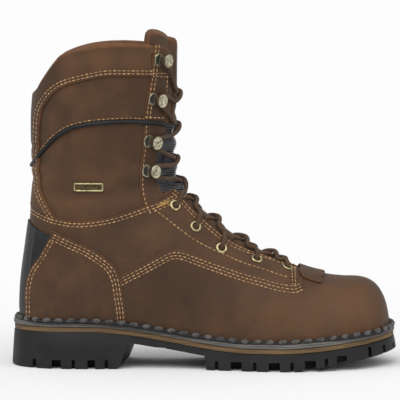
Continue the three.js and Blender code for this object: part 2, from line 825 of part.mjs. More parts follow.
function insoleSolid() {
  const inset = weltWidth + clearance;
  const filler = outlineBody(inset, inset, 40).intersect(
    slab(heightCurve(midsoleTop, clearance), heightCurve(weltTop, clearance * 2)),
  );
  const board = lastForm(-upperWall - clearance, innerRingPoints).intersect(
    slab(heightCurve(weltTop, clearance), heightCurve(weltTop, clearance + insoleThickness)),
  );
  return board.add(filler);
}

function tongueSolid() {
  const steps = 28;
  const rings = [];
  for (let k = 0; k <= steps; k++) {
    const station = blend(tongueStart, lastStation, k / steps);
    const half = throatHalfAt(station);
    const wing = Math.min(reachAt(station, -tongueWingAngle), reachAt(station, tongueWingAngle));
    const spread = Math.min(wing, blend(half + 6, tongueHalfWidth, smooth((station - tongueStart) / 9)));
    const opening = smooth((station - throatStart - 0.35) / 0.8);
    const across = [spread, half + 2, half - 0.9, half - 4.2, half * 0.35].map((y) => y / spread);
    const places = [...across.map((share) => -share), 0, ...across.slice().reverse()];
    const ring = [];
    for (const under of [false, true]) {
      const row = places.map((share) => {
        const away = Math.abs(share) * spread;
        const rise = opening * smooth((half - 0.9 - away) / 3.3);
        const offset = -upperWall - tongueGap + rise * (upperWall + tongueGap + tongueBulge);
        const depth = under ? tongueThickness : 0;
        return upperPoint(station, angleAt(station, share * spread), offset - depth);
      });
      ring.push(...(under ? row.reverse() : row));
    }
    rings.push(ring);
  }
  return bodyThrough(rings).subtract(spaceAbove(sideLine(tongueTopLine)));
}

function heelStripSolid() {
  const foot = slab(flatCurve(belowFloor), heightCurve(weltTop, stormRise + clearance));
  return lastForm(clearance + stripThickness)
    .subtract(lastForm(clearance))
    .intersect(stripRegion())
    .subtract(foot);
}

// A fringed flap over the foot of the throat
function kiltieSolid() {
  const point = ([along, wide]) => new THREE.Vector2(along * soleLength, wide * ballWidth);
  const edge = kiltieEdge.map(point);
  const other = edge.slice(1, -1).map((p) => new THREE.Vector2(p.x, -p.y)).reverse();
  const flat = new THREE.Shape([...edge, ...other]);
  const geometry = new THREE.ExtrudeGeometry(flat, { depth: 60, bevelEnabled: false });
  geometry.translate(0, sectionAt(kiltieStation).ridge, heightOf(0.33));
  const under = vampStep + clearance;
  return lastForm(under + kiltieThickness).subtract(lastForm(under)).intersect(solidOf(geometry));
}

function pipingSolid() {
  return barAlong(pipingPath(), pipingRadius, 6, 30);
}

// A bare metal plate with a raised rim, on the outer side of the shaft
function badgeSolid() {
  const x = badgeSpot[0] * soleLength;
  const z = heightOf(badgeSpot[1]);
  const plate = (width, height) => {
    const corner = (right, up) => [x + (right * width) / 2, z + (up * height) / 2];
    return sidePrism([corner(-1, -1), corner(1, -1), corner(1, 1), corner(-1, 1)], -halfSpan, 0);
  };
  const skin = (from, to) => lastForm(to).subtract(lastForm(from));
  const base = skin(clearance, clearance + badgeThickness).intersect(plate(badgeWidth, badgeHeight));
  const field = plate(badgeWidth - 2 * badgeRim, badgeHeight - 2 * badgeRim);
  const frame = plate(badgeWidth, badgeHeight).subtract(field);
  const rim = skin(clearance + badgeThickness / 2, clearance + badgeThickness * 1.6).intersect(frame);
  return base.add(rim);
}

// Lacing hardware

function eyeletGeometry() {
  const hole = eyeletHoleRadius;
  const barrel = hole + eyeletBarrel;
  const foot = -(facingStep + upperWall - clearance * 2);
  const crest = [blend(barrel, eyeletRadius, 0.5), clearance + eyeletFlange];
  const mouth = [hole, clearance + eyeletFlange * 0.6];
  const profile = [
    [hole, foot], [barrel, foot], [barrel, clearance], [eyeletRadius, clearance], crest, mouth, [hole, foot],
  ];
  const ring = new THREE.LatheGeometry(profile.map(([r, h]) => new THREE.Vector2(r, h)), 10);
  return ring.rotateX(Math.PI / 2);
}

// A lace hook: an oval foot with its rivet, a stem on the throat's side and an oval head over it.
function hookGeometry() {
  const foot = new THREE.Shape();
  foot.absarc(0, 0, hookBaseRadius, Math.PI / 2, (3 * Math.PI) / 2);
  foot.absarc(hookStemReach, 0, hookBaseRadius * 0.8, -Math.PI / 2, Math.PI / 2);
  const options = { depth: hookFootThickness, bevelEnabled: false, curveSegments: 4 };
  const plate = new THREE.ExtrudeGeometry(foot, options);
  plate.translate(0, 0, clearance);
  const rivet = new THREE.CylinderGeometry(hookBaseRadius / 3, hookBaseRadius / 2, hookFootThickness, 6);
  rivet.rotateX(Math.PI / 2);
  rivet.translate(0, 0, clearance + hookFootThickness * 1.25);
  const stem = new THREE.CylinderGeometry(hookStemRadius, hookStemRadius, hookStandoff, 6);
  stem.rotateX(Math.PI / 2);
  stem.translate(hookStemReach, 0, clearance + hookStandoff / 2);
  const head = new THREE.CylinderGeometry(1, 0.9, hookHeadThickness, 10);
  head.rotateX(Math.PI / 2);
  head.scale(hookHeadWidth / 2, hookHeadHeight / 2, 1);
  head.translate(hookHeadReach, 0, clearance + hookStandoff);
  const pieces = [plate, rivet, stem, head].map((piece) => solidOf(piece));
  return geometryOf(wasm.Manifold.union(pieces));
}

// Lacing. Each crossing is one solid: two strands from a pair of eyelets or hooks to the next pair.
const laceStations = [...eyeletStations, ...hookStations];
function laceEnd(index, side, leaving) {
  const station = laceStations[index];
  const isHook = index >= eyeletStations.length;
  const overFacing = facingStep + laceRadius + clearance;
  const overEyelet = overFacing + eyeletFlange;
  const half = throatHalfAt(station);
  if (isHook) {
    const turn = leaving ? 0.14 : -0.14;
    const besideStem = half + hookInset - hookStemReach - hookStemRadius - laceRadius - clearance;
    return [
      { station: station + turn, side, away: besideStem, offset: overFacing + 1 },
      { station: station + 2.4 * turn, side, away: half + 1, offset: overFacing + 0.6 },
    ];
  }
  if (leaving) {
    return [
      { station: station + 0.1, side, away: half + eyeletInset - 2, offset: overEyelet + 0.5 },
      { station: station + 0.35, side, away: half + 1, offset: overEyelet },
    ];
  }
  const inside = tongueBulge + laceRadius + laceLift * 0.8;
  return [{ station: station - 0.25, side, away: half - laceRadius - 1.2, offset: inside }];
}

function crossingSolid(index) {
  const middle = {
    station: blend(laceStations[index], laceStations[index + 1], 0.5),
    side: 1,
    away: 0,
    offset: tongueBulge + laceRadius + laceLift,
  };
  const strands = [-1, 1].map((side) => {
    const start = laceEnd(index, side, true);
    const end = laceEnd(index + 1, -side, false).reverse();
    const points = [...start, middle, ...end].map(({ station, side: at, away, offset }) =>
      upperPoint(station, angleAt(station, at * away), offset),
    );
    return barAlong(points, laceRadius, 6, 7);
  });
  return strands[0].add(strands[1]);
}

// Materials: colour, roughness and metalness of each kind

const brownLeather = { color: 0x6b4a30, roughness: 0.75, metalness: 0 };
const blackRubber = { color: 0x17171a, roughness: 0.7, metalness: 0 };
const greyWelt = { color: 0x5c5a58, roughness: 0.8, metalness: 0 };
const brownMidsole = { color: 0x5d4731, roughness: 0.8, metalness: 0 };
const antiqueBrass = { color: 0x8a6f3e, roughness: 0.35, metalness: 1 };
const brownCord = { color: 0x4a3626, roughness: 0.9, metalness: 0 };
const insoleFabric = { color: 0x3c3a38, roughness: 0.95, metalness: 0 };

const boot = new THREE.Group();

function addPiece(name, geometry, look) {
  const piece = new THREE.Mesh(geometry, new THREE.MeshStandardMaterial(look));
  piece.name = name;
  boot.add(piece);
  return piece;
}

addPiece("outsole", geometryOf(outsoleSolid()), blackRubber);
addPiece("midsole", geometryOf(midsoleSolid()), brownMidsole);
addPiece("welt", geometryOf(weltSolid()), greyWelt);
addPiece("insole", geometryOf(insoleSolid()), insoleFabric);
addPiece("upper", geometryOf(upperSolid()), brownLeather);
addPiece("tongue", geometryOf(tongueSolid()), brownLeather);
addPiece("heel_strip", geometryOf(heelStripSolid()), blackRubber);
addPiece("kiltie", geometryOf(kiltieSolid()), brownLeather);
addPiece("piping", geometryOf(pipingSolid()), blackRubber);
addPiece("badge_plate", geometryOf(badgeSolid()), antiqueBrass);

for (const [side, label] of [[-1, "outer"], [1, "inner"]]) {
  eyeletStations.forEach((station, i) => {
    const eyelet = addPiece(`eyelet_${label}_${i + 1}`, eyeletGeometry(), antiqueBrass);
    eyelet.applyMatrix4(lacingFrame(station, side, eyeletInset, facingStep + eyeletLift));
  });
  hookStations.forEach((station, i) => {
    const hook = addPiece(`hook_${label}_${i + 1}`, hookGeometry(), antiqueBrass);
    hook.applyMatrix4(lacingFrame(station, side, hookInset, facingStep + hookLift));
  });
}

for (let i = 0; i < laceStations.length - 1; i++) {
  addPiece(`lace_crossing_${i + 1}`, geometryOf(crossingSolid(i)), brownCord);
}

// The origin goes to the middle of the whole boot, on the floor.
const box = new THREE.Box3().setFromObject(boot);
const centre = box.getCenter(new THREE.Vector3());
boot.position.set(-centre.x, -centre.y, -box.min.z);

export default boot;
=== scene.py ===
import math

import bmesh
import bpy
import numpy as np
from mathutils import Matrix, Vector


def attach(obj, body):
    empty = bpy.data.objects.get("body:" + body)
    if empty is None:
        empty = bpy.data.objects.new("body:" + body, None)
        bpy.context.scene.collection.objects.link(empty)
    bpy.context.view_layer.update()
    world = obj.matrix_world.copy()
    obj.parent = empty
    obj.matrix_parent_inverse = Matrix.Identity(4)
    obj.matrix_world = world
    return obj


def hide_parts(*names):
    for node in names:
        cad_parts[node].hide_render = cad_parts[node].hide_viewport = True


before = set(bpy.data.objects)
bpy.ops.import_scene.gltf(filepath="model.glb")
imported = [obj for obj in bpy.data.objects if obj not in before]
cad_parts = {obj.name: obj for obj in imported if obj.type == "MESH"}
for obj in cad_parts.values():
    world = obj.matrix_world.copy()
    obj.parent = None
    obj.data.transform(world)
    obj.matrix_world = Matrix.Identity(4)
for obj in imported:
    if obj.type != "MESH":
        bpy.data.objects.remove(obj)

bl_info = {
    "name": "Logger boot",
    "version": (1, 0, 0),
    "blender": (4, 5, 0),
    "location": "3D View > Sidebar > Boot",
    "description": "A right logger boot of brown oiled leather on a lugged rubber sole",
    "category": "Object",
}

# Sizes of the last and of the sole are in millimetres, with X from the back of the heel towards the toe,
# Y from the last's centre plane and Z from the floor. The finished meshes are in metres, moved by SHIFT.
SHIFT = np.array([-159.555, 0.694, 0.0])
SOLE_LENGTH = 320.0
BALL_WIDTH = 118.0
HEEL_WIDTH = 81.0
SHAFT_WIDTH = 90.0
ANKLE_HEIGHT = 155.0
COLLAR_HEIGHT = 268.0
HEEL_HEIGHT = 29.7
FORE_HEIGHT = 13.7
ARCH_THICKNESS = 5.6
TOE_SPRING = 9.4
TOE_THINNING = 3.2
LUG_DEPTH = 7.0
GAP = 0.3
MIDSOLE = 4.0
WELT = 3.4
HEEL_FLARE = 2.0

# The sole's outline: share of the length, outer and inner reach as shares of half the width there
OUTLINE_ROWS = [
    (0.0, 0.0, 0.0), (0.018, 0.46, 0.46), (0.055, 0.75, 0.74), (0.11, 0.94, 0.93), (0.185, 1.0, 0.99),
    (0.28, 0.985, 0.95), (0.37, 0.935, 0.87), (0.46, 0.88, 0.74), (0.55, 0.896, 0.745),
    (0.64, 0.97, 0.875), (0.71, 1.013, 0.98), (0.78, 0.983, 0.988), (0.85, 0.873, 0.924),
    (0.915, 0.67, 0.78), (0.965, 0.39, 0.576), (0.99, 0.144, 0.356), (1.0, -0.12, 0.12),
]

# Sections of the last: top along, top rise, bottom along, bottom rise, outer, inner, ridge, widest,
# top form, bottom form.
FOOT_ROWS = [
    (0.9756, 0.239, 0.9756, 0.129, 0.034, 0.034, 0.038, 0.35, 2.4, 3.0),
    (0.9725, 0.277, 0.9725, 0.123, 0.106, 0.114, 0.037, 0.3, 2.4, 3.2),
    (0.9669, 0.326, 0.9675, 0.116, 0.165, 0.174, 0.036, 0.28, 2.3, 3.4),
    (0.9581, 0.371, 0.96, 0.11, 0.22, 0.229, 0.034, 0.26, 2.3, 3.6),
    (0.9444, 0.412, 0.9475, 0.103, 0.271, 0.278, 0.032, 0.24, 2.3, 3.8),
    (0.9234, 0.441, 0.9281, 0.097, 0.322, 0.326, 0.03, 0.22, 2.3, 4.0),
    (0.8969, 0.453, 0.9031, 0.09, 0.36, 0.36, 0.026, 0.21, 2.3, 4.0),
    (0.8594, 0.455, 0.8656, 0.084, 0.398, 0.394, 0.022, 0.2, 2.25, 4.0),
    (0.8156, 0.466, 0.8156, 0.077, 0.428, 0.419, 0.017, 0.19, 2.25, 4.0),
    (0.7656, 0.497, 0.75, 0.065, 0.445, 0.428, 0.01, 0.18, 2.2, 4.0),
    (0.7125, 0.539, 0.6719, 0.058, 0.428, 0.404, -0.01, 0.19, 2.25, 4.0),
    (0.6625, 0.587, 0.5906, 0.058, 0.382, 0.34, -0.022, 0.2, 2.35, 4.0),
    (0.6125, 0.639, 0.5094, 0.071, 0.326, 0.296, -0.027, 0.22, 2.45, 3.8),
    (0.5625, 0.706, 0.425, 0.097, 0.3, 0.282, -0.024, 0.24, 2.55, 3.6),
    (0.5141, 0.784, 0.3312, 0.116, 0.309, 0.296, -0.014, 0.27, 2.6, 3.4),
    (0.4734, 0.858, 0.2313, 0.116, 0.326, 0.321, -0.004, 0.3, 2.6, 3.1),
    (0.4453, 0.929, 0.1313, 0.11, 0.331, 0.326, 0, 0.34, 2.6, 2.8),
    (0.4297, 1.0, 0.0437, 0.129, 0.324, 0.324, 0, 0.38, 2.6, 2.4),
]
SHAFT_ROWS = [
    (0.4219, 1.088, 0.0263, 0.271, 0.411, 0.414, 0, 0.42, 2.55, 2.15),
    (0.4194, 1.186, 0.0263, 0.4, 0.403, 0.407, 0, 0.43, 2.5, 2.1),
    (0.4194, 1.292, 0.0319, 0.529, 0.403, 0.407, 0, 0.44, 2.5, 2.1),
    (0.4206, 1.398, 0.0412, 0.658, 0.411, 0.414, 0, 0.45, 2.45, 2.1),
    (0.4219, 1.504, 0.0497, 0.781, 0.422, 0.426, 0, 0.46, 2.45, 2.1),
    (0.4228, 1.602, 0.055, 0.897, 0.436, 0.438, 0, 0.47, 2.4, 2.1),
    (0.4234, 1.699, 0.06, 1.004, 0.449, 0.451, 0, 0.48, 2.4, 2.1),
    (0.4241, 1.788, 0.0575, 1.15, 0.462, 0.464, 0, 0.49, 2.4, 2.1),
    (0.4247, 1.867, 0.0556, 1.301, 0.476, 0.477, 0, 0.5, 2.4, 2.1),
    (0.425, 1.938, 0.0563, 1.46, 0.488, 0.489, 0, 0.5, 2.4, 2.1),
    (0.4256, 2.018, 0.06, 1.628, 0.498, 0.498, 0, 0.5, 2.4, 2.1),
    (0.4263, 2.115, 0.0641, 1.805, 0.506, 0.506, 0, 0.5, 2.4, 2.1),
    (0.427, 2.26, 0.071, 2.11, 0.512, 0.512, 0, 0.5, 2.4, 2.1),
]

# Lines of the panels seen from the side: share of the sole's length, and rise, which is 1 at the
# ankle's height and 2 at the collar's.
COLLAR_LINE = [
    (0.031, 1.593), (0.053, 1.628), (0.072, 1.677), (0.083, 1.73), (0.103, 1.814), (0.123, 1.885),
    (0.139, 1.926), (0.172, 1.961), (0.212, 1.987), (0.259, 2.0), (0.312, 2.0), (0.362, 1.989),
    (0.394, 1.973), (0.409, 1.947), (0.419, 1.903), (0.428, 1.841),
]
QUARTER_TOP_LINE = [
    (0.02, 0.86), (0.06, 0.838), (0.102, 0.803), (0.155, 0.782), (0.197, 0.782), (0.245, 0.795),
    (0.287, 0.817), (0.344, 0.857), (0.388, 0.89), (0.45, 0.95),
]
VAMP_TOP_LINE = [
    (0.256, 0.458), (0.284, 0.492), (0.33, 0.54), (0.374, 0.588), (0.402, 0.618), (0.422, 0.627),
    (0.447, 0.621), (0.483, 0.594), (0.527, 0.56), (0.596, 0.512), (0.65, 0.481), (0.703, 0.452),
    (0.738, 0.45), (0.76, 0.52),
]
COUNTER_FRONT_LINE = [
    (0.107, 0.732), (0.155, 0.686), (0.199, 0.646), (0.235, 0.601), (0.263, 0.555), (0.282, 0.488),
    (0.291, 0.387), (0.298, 0.284), (0.302, 0.16),
]
COUNTER_REAR_LINE = [
    (0.107, 0.7), (0.08, 0.594), (0.058, 0.524), (0.047, 0.46), (0.042, 0.385), (0.042, 0.31),
    (0.042, 0.16),
]
COLLAR_PANEL_LINE = [
    (0.36, 1.757), (0.298, 1.76), (0.244, 1.757), (0.191, 1.726), (0.147, 1.69), (0.119, 1.642),
    (0.102, 1.589), (0.089, 1.527), (0.08, 1.454), (0.076, 1.288), (0.076, 1.108), (0.077, 1.02),
    (0.0795, 0.95), (0.0875, 0.901), (0.0997, 0.853), (0.112, 0.816), (0.124, 0.785), (0.134, 0.755),
]
FACING_LINE = [
    (0.372, 2.02), (0.362, 1.757), (0.347, 1.46), (0.342, 1.2), (0.336, 1.05), (0.34, 0.9),
    (0.36, 0.8),
]
PIPING_LINE = [
    (0.066, 1.135), (0.102, 1.261), (0.138, 1.347), (0.173, 1.39), (0.227, 1.417), (0.298, 1.427),
    (0.345, 1.42),
]
PIPING_END = [(0.372, 1.413), (0.394, 1.402), (0.402, 1.39)]
EYESTAY_LINE = [
    (0.374, 0.836), (0.407, 0.782), (0.443, 0.724), (0.478, 0.673), (0.519, 0.628), (0.543, 0.605),
    (0.596, 0.557), (0.647, 0.523), (0.683, 0.496), (0.707, 0.479),
]
TONGUE_TOP_LINE = [
    (0.31, 1.965), (0.336, 2.005), (0.344, 2.049), (0.354, 2.064), (0.374, 2.078), (0.395, 2.057),
    (0.416, 2.013), (0.426, 1.984), (0.436, 1.9),
]

# Places along the throat are stations: 0 is the first section, at the toe. Widths are in millimetres.
EYELET_STATIONS = [9.97, 11.45, 13.04, 14.4, 15.9]
HOOK_STATIONS = [19.45, 21.3, 23.95, 26.9]
THROAT_START = 9.35
THROAT_FULL = 13.0
THROAT_HALF = 16.0
THROAT_TOE_HALF = 9.0
THROAT_ANKLE = 10.0
EYELET_INSET = 8.0
HOOK_INSETS = [13.5, 14.5, 16.0, 16.5]

# Where the two strands of each crossing meet, as a share of the way to the next pair, and how high
CROSS_SHARES = [0.5, 0.5, 0.5, 0.5, 0.16, -0.5, -0.18, -0.28]
CROSS_LIFTS = [4.6, 4.6, 4.6, 4.6, 4.8, 3.6, 4.6, 4.8]
PIPING_RADIUS = 1.75

SIDES = ((-1, "outer"), (1, "inner"))

# Steps of the leather layers above the last
STEP = {"quarter": 1.1, "facing": 1.0, "vamp": 1.9, "counter": 3.0, "collar": 1.9, "strip": 2.4}
WALL = 2.6
COLLAR_PADDING = 4.5

# Soft troughs and ridges of the leather, listed one by one: side (-1 outer, 1 inner, 0 both), width,
# depth (a ridge is negative), and its path seen from the side.
CREASES = [
    (-1, 5.0, 0.9, [(134, 158), (120, 152), (104, 150), (92, 153)]),
    (-1, 6.0, 0.7, [(130, 178), (116, 171), (103, 171)]),
    (-1, 9.0, -0.8, [(126, 143), (105, 137), (78, 133), (52, 132)]),
    (-1, 8.0, 0.6, [(100, 147), (76, 143), (50, 142), (34, 147)]),
    (0, 3.4, 0.8, [(10, 182), (19, 181), (30, 184)]),
    (0, 3.6, 0.9, [(10, 169), (18, 167), (31, 171)]),
    (0, 3.4, 0.7, [(10, 157), (18, 154), (27, 157)]),
    (0, 4.0, -0.5, [(10, 162), (20, 161), (29, 164)]),
    (-1, 10.0, 0.6, [(44, 208), (49, 176), (45, 150)]),
    (-1, 11.0, -0.5, [(82, 216), (86, 180), (92, 150)]),
    (-1, 8.0, 0.5, [(101, 238), (104, 212), (100, 190)]),
    (-1, 9.0, 0.6, [(58, 262), (64, 246), (60, 226)]),
    (-1, 9.0, 0.6, [(88, 266), (90, 244)]),
    (1, 5.0, 1.0, [(134, 160), (118, 150), (98, 147), (84, 151)]),
    (1, 6.0, 0.8, [(131, 181), (112, 170), (96, 170)]),
    (1, 9.0, -0.8, [(122, 143), (100, 136), (74, 134)]),
    (1, 10.0, 0.7, [(52, 206), (56, 176), (50, 150)]),
    (1, 8.0, 0.5, [(92, 232), (97, 206), (92, 186)]),
    (0, 7.0, 0.45, [(214, 66), (203, 52), (200, 40)]),
    (0, 7.0, 0.4, [(192, 72), (182, 56), (181, 40)]),
    (0, 8.0, -0.3, [(203, 68), (193, 54), (191, 40)]),
    (-1, 9.0, 0.4, [(120, 90), (112, 66), (116, 44)]),
    (1, 9.0, 0.5, [(124, 92), (114, 66), (118, 44)]),
]

# Lighter and darker places of the oiled leather, partly its own uneven pull-up tone and partly painted
# highlights and painted shade, such as the lit top of the toe and the dark rim at its tip: x, z, reach along
# x, reach along z, amount
TONE_AND_LIGHT_SPOTS = [
    (285, 52, 34, 24, 0.85), (236, 50, 30, 22, 0.35), (200, 52, 34, 26, 0.25), (310, 66, 12, 16, -0.3),
    (82, 254, 42, 10, 0.9), (50, 238, 14, 16, 0.55), (120, 232, 14, 26, -0.35), (36, 232, 9, 20, -0.3),
    (90, 226, 40, 12, -0.15), (92, 180, 34, 24, -0.3), (48, 190, 20, 20, 0.15), (66, 140, 36, 12, 0.35),
    (24, 150, 12, 20, 0.45), (120, 112, 22, 16, 0.1), (176, 92, 30, 12, 0.3), (222, 76, 16, 8, 0.35),
    (40, 74, 26, 24, -0.1), (150, 60, 26, 26, -0.25), (118, 60, 16, 30, -0.2), (128, 262, 12, 8, 0.3),
]


def mix(a, b, t):
    return a + (b - a) * t


def smooth(t):
    t = np.clip(t, 0.0, 1.0)
    return t * t * (3 - 2 * t)


def height_of(rise):
    rise = np.asarray(rise, float)
    upper = mix(ANKLE_HEIGHT, COLLAR_HEIGHT, rise - 1)
    return np.where(rise <= 1, rise * ANKLE_HEIGHT, upper)


def section_table():
    rows = []
    for table, width in ((FOOT_ROWS, BALL_WIDTH), (SHAFT_ROWS, SHAFT_WIDTH)):
        for r in table:
            top = (r[0] * SOLE_LENGTH, float(height_of(r[1])))
            bottom = (r[2] * SOLE_LENGTH, float(height_of(r[3])))
            rows.append((*top, *bottom, r[4] * width, r[5] * width, r[6] * width, *r[7:]))
    return np.array(rows, float)


SECTIONS = section_table()
LAST = len(SECTIONS) - 1


def section_at(station):
    station = np.asarray(station, float)
    i = np.clip(np.floor(station), 0, LAST - 1).astype(int)
    t = (station - i)[..., None]
    a, b, c, d = (SECTIONS[np.clip(i + k, 0, LAST)] for k in (-1, 0, 1, 2))
    slope = c - a
    bend = 2 * a - 5 * b + 4 * c - d
    twist = 3 * b - a - 3 * c + d
    return b + 0.5 * t * (slope + t * (bend + t * twist))


def base_point(station, angle):
    """Angle 0 is the ridge of vamp and shaft; negative angles are on the outer side."""
    station, angle = np.broadcast_arrays(np.asarray(station, float), np.asarray(angle, float))
    s = section_at(station)
    turn = np.abs(angle)
    across, up = np.sin(turn), np.cos(turn)
    form = np.where(up > 0, s[..., 8], s[..., 9])
    reach = (np.abs(up) ** form + np.abs(across) ** form) ** (-1 / form)
    span = np.where(up > 0, 1 - s[..., 7], s[..., 7])
    height = s[..., 7] + span * reach * up
    half = np.where(angle < 0, -s[..., 4], s[..., 5]) * reach * across
    x = mix(s[..., 2], s[..., 0], height)
    z = mix(s[..., 3], s[..., 1], height)
    return np.stack([x, s[..., 6] + half, z], -1)


def unit(v):
    return v / np.maximum(np.linalg.norm(v, axis=-1, keepdims=True), 1e-9)


def base_normal(station, angle):
    nudge = 0.02
    low = np.maximum(0, station - nudge)
    high = np.minimum(LAST, station + nudge)
    along = base_point(high, angle) - base_point(low, angle)
    around = base_point(station, angle + nudge) - base_point(station, angle - nudge)
    return unit(np.cross(around, along))


def path_distance(x, z, path):
    best = np.full(x.shape, 1e9)
    for (ax, az), (bx, bz) in zip(path[:-1], path[1:]):
        dx, dz = bx - ax, bz - az
        t = np.clip(((x - ax) * dx + (z - az) * dz) / (dx * dx + dz * dz), 0, 1)
        best = np.minimum(best, np.hypot(x - ax - t * dx, z - az - t * dz))
    return best


def relief(points):
    """How far the worn leather stands in or out of the last's smooth form."""
    x, y, z = points[..., 0], points[..., 1], points[..., 2]
    total = np.zeros(x.shape)
    for side, width, depth, path in CREASES:
        near = np.exp(-((path_distance(x, z, path) / width) ** 2) * 2.2)
        keep = 1.0 if side == 0 else smooth(side * y / 14)
        total -= depth * near * keep
    # Slow waves of leather that has been shaped over the last by hand
    wave = np.sin(x * 0.071 + z * 0.043 + y * 0.05) * np.sin(z * 0.083 - x * 0.037 + 1.3)
    total += 0.22 * wave * smooth((z - 40) / 30)
    return total


# The leather's own uneven tone together with painted highlights and painted shade, from the spots above
def tone_and_light_at(points):
    x, z = points[..., 0], points[..., 2]
    total = np.zeros(x.shape)
    for cx, cz, rx, rz, amount in TONE_AND_LIGHT_SPOTS:
        total += amount * np.exp(-((x - cx) / rx) ** 2 - ((z - cz) / rz) ** 2)
    return total


def skin(station, angle, offset=0.0):
    station, angle = np.broadcast_arrays(np.asarray(station, float), np.asarray(angle, float))
    base = base_point(station, angle)
    lift = np.asarray(offset, float) + relief(base)
    return base + base_normal(station, angle) * lift[..., None]


def halve(test, low, high, rounds=30):
    """The place between low and high where test stops being true."""
    low = np.array(low, float)
    high = np.array(high, float)
    for _ in range(rounds):
        middle = (low + high) / 2
        holds = test(middle)
        low = np.where(holds, middle, low)
        high = np.where(holds, high, middle)
    return (low + high) / 2


def angle_at(station, distance):
    """Angle at which the surface is a distance from the ridge; both are negative outside."""
    station, distance = np.broadcast_arrays(np.asarray(station, float), np.asarray(distance, float))
    side = np.where(distance < 0, -1.0, 1.0)
    ridge = section_at(station)[..., 6]

    def nearer(a):
        return side * (base_point(station, side * a)[..., 1] - ridge) < np.abs(distance)

    return side * halve(nearer, np.zeros(station.shape), np.full(station.shape, math.pi / 2), 26)


def over_side(x, z):
    """Station and angle (on either side) of the surface at x and z seen from the side."""
    x, z = np.broadcast_arrays(np.asarray(x, float), np.asarray(z, float))

    def ahead(station):
        s = section_at(station)
        return (s[..., 0] - s[..., 2]) * (z - s[..., 3]) - (s[..., 1] - s[..., 3]) * (x - s[..., 2]) > 0

    station = halve(ahead, np.zeros(x.shape), np.full(x.shape, float(LAST)))
    s = section_at(station)
    dx, dz = s[..., 0] - s[..., 2], s[..., 1] - s[..., 3]
    length = dx**2 + dz**2
    height = ((x - s[..., 2]) * dx + (z - s[..., 3]) * dz) / length

    def above(angle):
        p = base_point(station, angle)
        return ((p[..., 0] - s[..., 2]) * dx + (p[..., 2] - s[..., 3]) * dz) / length > height

    return station, halve(above, np.zeros(x.shape), np.full(x.shape, math.pi))


def spline(points, count, closed=False, power=0.0):
    """Points on a smooth curve through the given ones, evenly spread."""
    p = np.array(points, float)
    n = len(p)
    dense = []
    spans = n if closed else n - 1
    for k in range(spans):
        if closed:
            a, b, c, d = (p[(k + i) % n] for i in (-1, 0, 1, 2))
        else:
            b, c = p[k], p[k + 1]
            a = p[k - 1] if k > 0 else 2 * b - c
            d = p[k + 2] if k + 2 < n else 2 * c - b
        if power:
            t1, t2, t3 = (max(1e-6, np.linalg.norm(v)) ** power for v in (b - a, c - b, d - c))
            m1 = ((b - a) / t1 - (c - a) / (t1 + t2) + (c - b) / t2) * t2
            m2 = ((c - b) / t2 - (d - b) / (t2 + t3) + (d - c) / t3) * t2
        else:
            m1, m2 = (c - a) / 2, (d - b) / 2
        t = np.linspace(0, 1, 24, endpoint=False)[:, None]
        dense.append((2 * t**3 - 3 * t**2 + 1) * b + (t**3 - 2 * t**2 + t) * m1
                     + (3 * t**2 - 2 * t**3) * c + (t**3 - t**2) * m2)
    dense = np.vstack([*dense, p[:1] if closed else p[-1:]])
    run = np.concatenate([[0], np.cumsum(np.linalg.norm(np.diff(dense, axis=0), axis=1))])
    at = np.linspace(0, run[-1], count, endpoint=not closed)
    return np.stack([np.interp(at, run, dense[:, k]) for k in range(dense.shape[1])], -1)


def side_line(table, count=120, shift=0.0):
    """A table's line in millimetres, smoothed, moved sideways to its left by a shift."""
    line = spline([(a * SOLE_LENGTH, float(height_of(r))) for a, r in table], count)
    if shift:
        way = np.gradient(line, axis=0)
        way /= np.linalg.norm(way, axis=1, keepdims=True)
        line = line + shift * np.stack([-way[:, 1], way[:, 0]], -1)
    return line


def angle_on_line(table):
    """A function that gives the angle at which a station crosses a line."""
    line = side_line(table, 260)
    stations, angles = over_side(line[:, 0], line[:, 1])
    order = np.argsort(stations)
    return lambda station: np.interp(station, stations[order], angles[order])


def throat_line(station):
    """Half the width of the row of eyelets and hooks, without their inset."""
    share = smooth((np.asarray(station, float) - THROAT_START) / (THROAT_FULL - THROAT_START))
    return mix(THROAT_TOE_HALF, THROAT_HALF, share)


def throat_half(station):
    """Half the open width; the facing stands further back over the ankle, where the gusset shows."""
    station = np.asarray(station, float)
    ankle = smooth((station - 16.35) / 0.8) * (1 - smooth((station - 19.2) / 3.6))
    return throat_line(station) + THROAT_ANKLE * ankle


def throat_angle(station, side, inset=0.0):
    return np.abs(angle_at(station, side * (throat_half(station) + inset)))


def spring_at(x):
    return np.maximum(0.0, (np.asarray(x, float) / SOLE_LENGTH - 0.7) / 0.3) ** 1.4


def outsole_top(x):
    drop = smooth((np.asarray(x, float) / SOLE_LENGTH - 0.195) / 0.425)
    return mix(HEEL_HEIGHT, FORE_HEIGHT, drop) + TOE_SPRING * spring_at(x)


def outsole_floor(x):
    return (TOE_SPRING + TOE_THINNING) * spring_at(x)


def midsole_top(x):
    return outsole_top(x) + GAP + MIDSOLE


def welt_top(x):
    return midsole_top(x) + GAP + WELT


def foot_angle(station, offset=0.0, sink=1.6):
    """Angle at which the surface goes down behind the welt, or half a turn where it doesn't."""
    station = np.asarray(station, float)

    def above(angle):
        p = base_point(station, angle) + base_normal(station, angle) * offset
        return p[..., 2] > welt_top(np.clip(p[..., 0], 0, SOLE_LENGTH)) - sink

    return halve(above, np.full(station.shape, 0.3), np.full(station.shape, math.pi))


def half_width_at(along):
    return mix(HEEL_WIDTH, BALL_WIDTH, smooth((along - 0.3) / 0.34)) / 2


def outline_loop(inset, count=240):
    outer = [(a * SOLE_LENGTH, -o * half_width_at(a)) for a, o, _ in OUTLINE_ROWS]
    inner = [(a * SOLE_LENGTH, i * half_width_at(a)) for a, _, i in OUTLINE_ROWS[1:-1]][::-1]
    loop = spline(outer + inner, count, closed=True, power=0.5)
    way = np.roll(loop, -1, 0) - np.roll(loop, 1, 0)
    way /= np.linalg.norm(way, axis=1, keepdims=True)
    return loop + inset * np.stack([-way[:, 1], way[:, 0]], -1)


# Mesh making

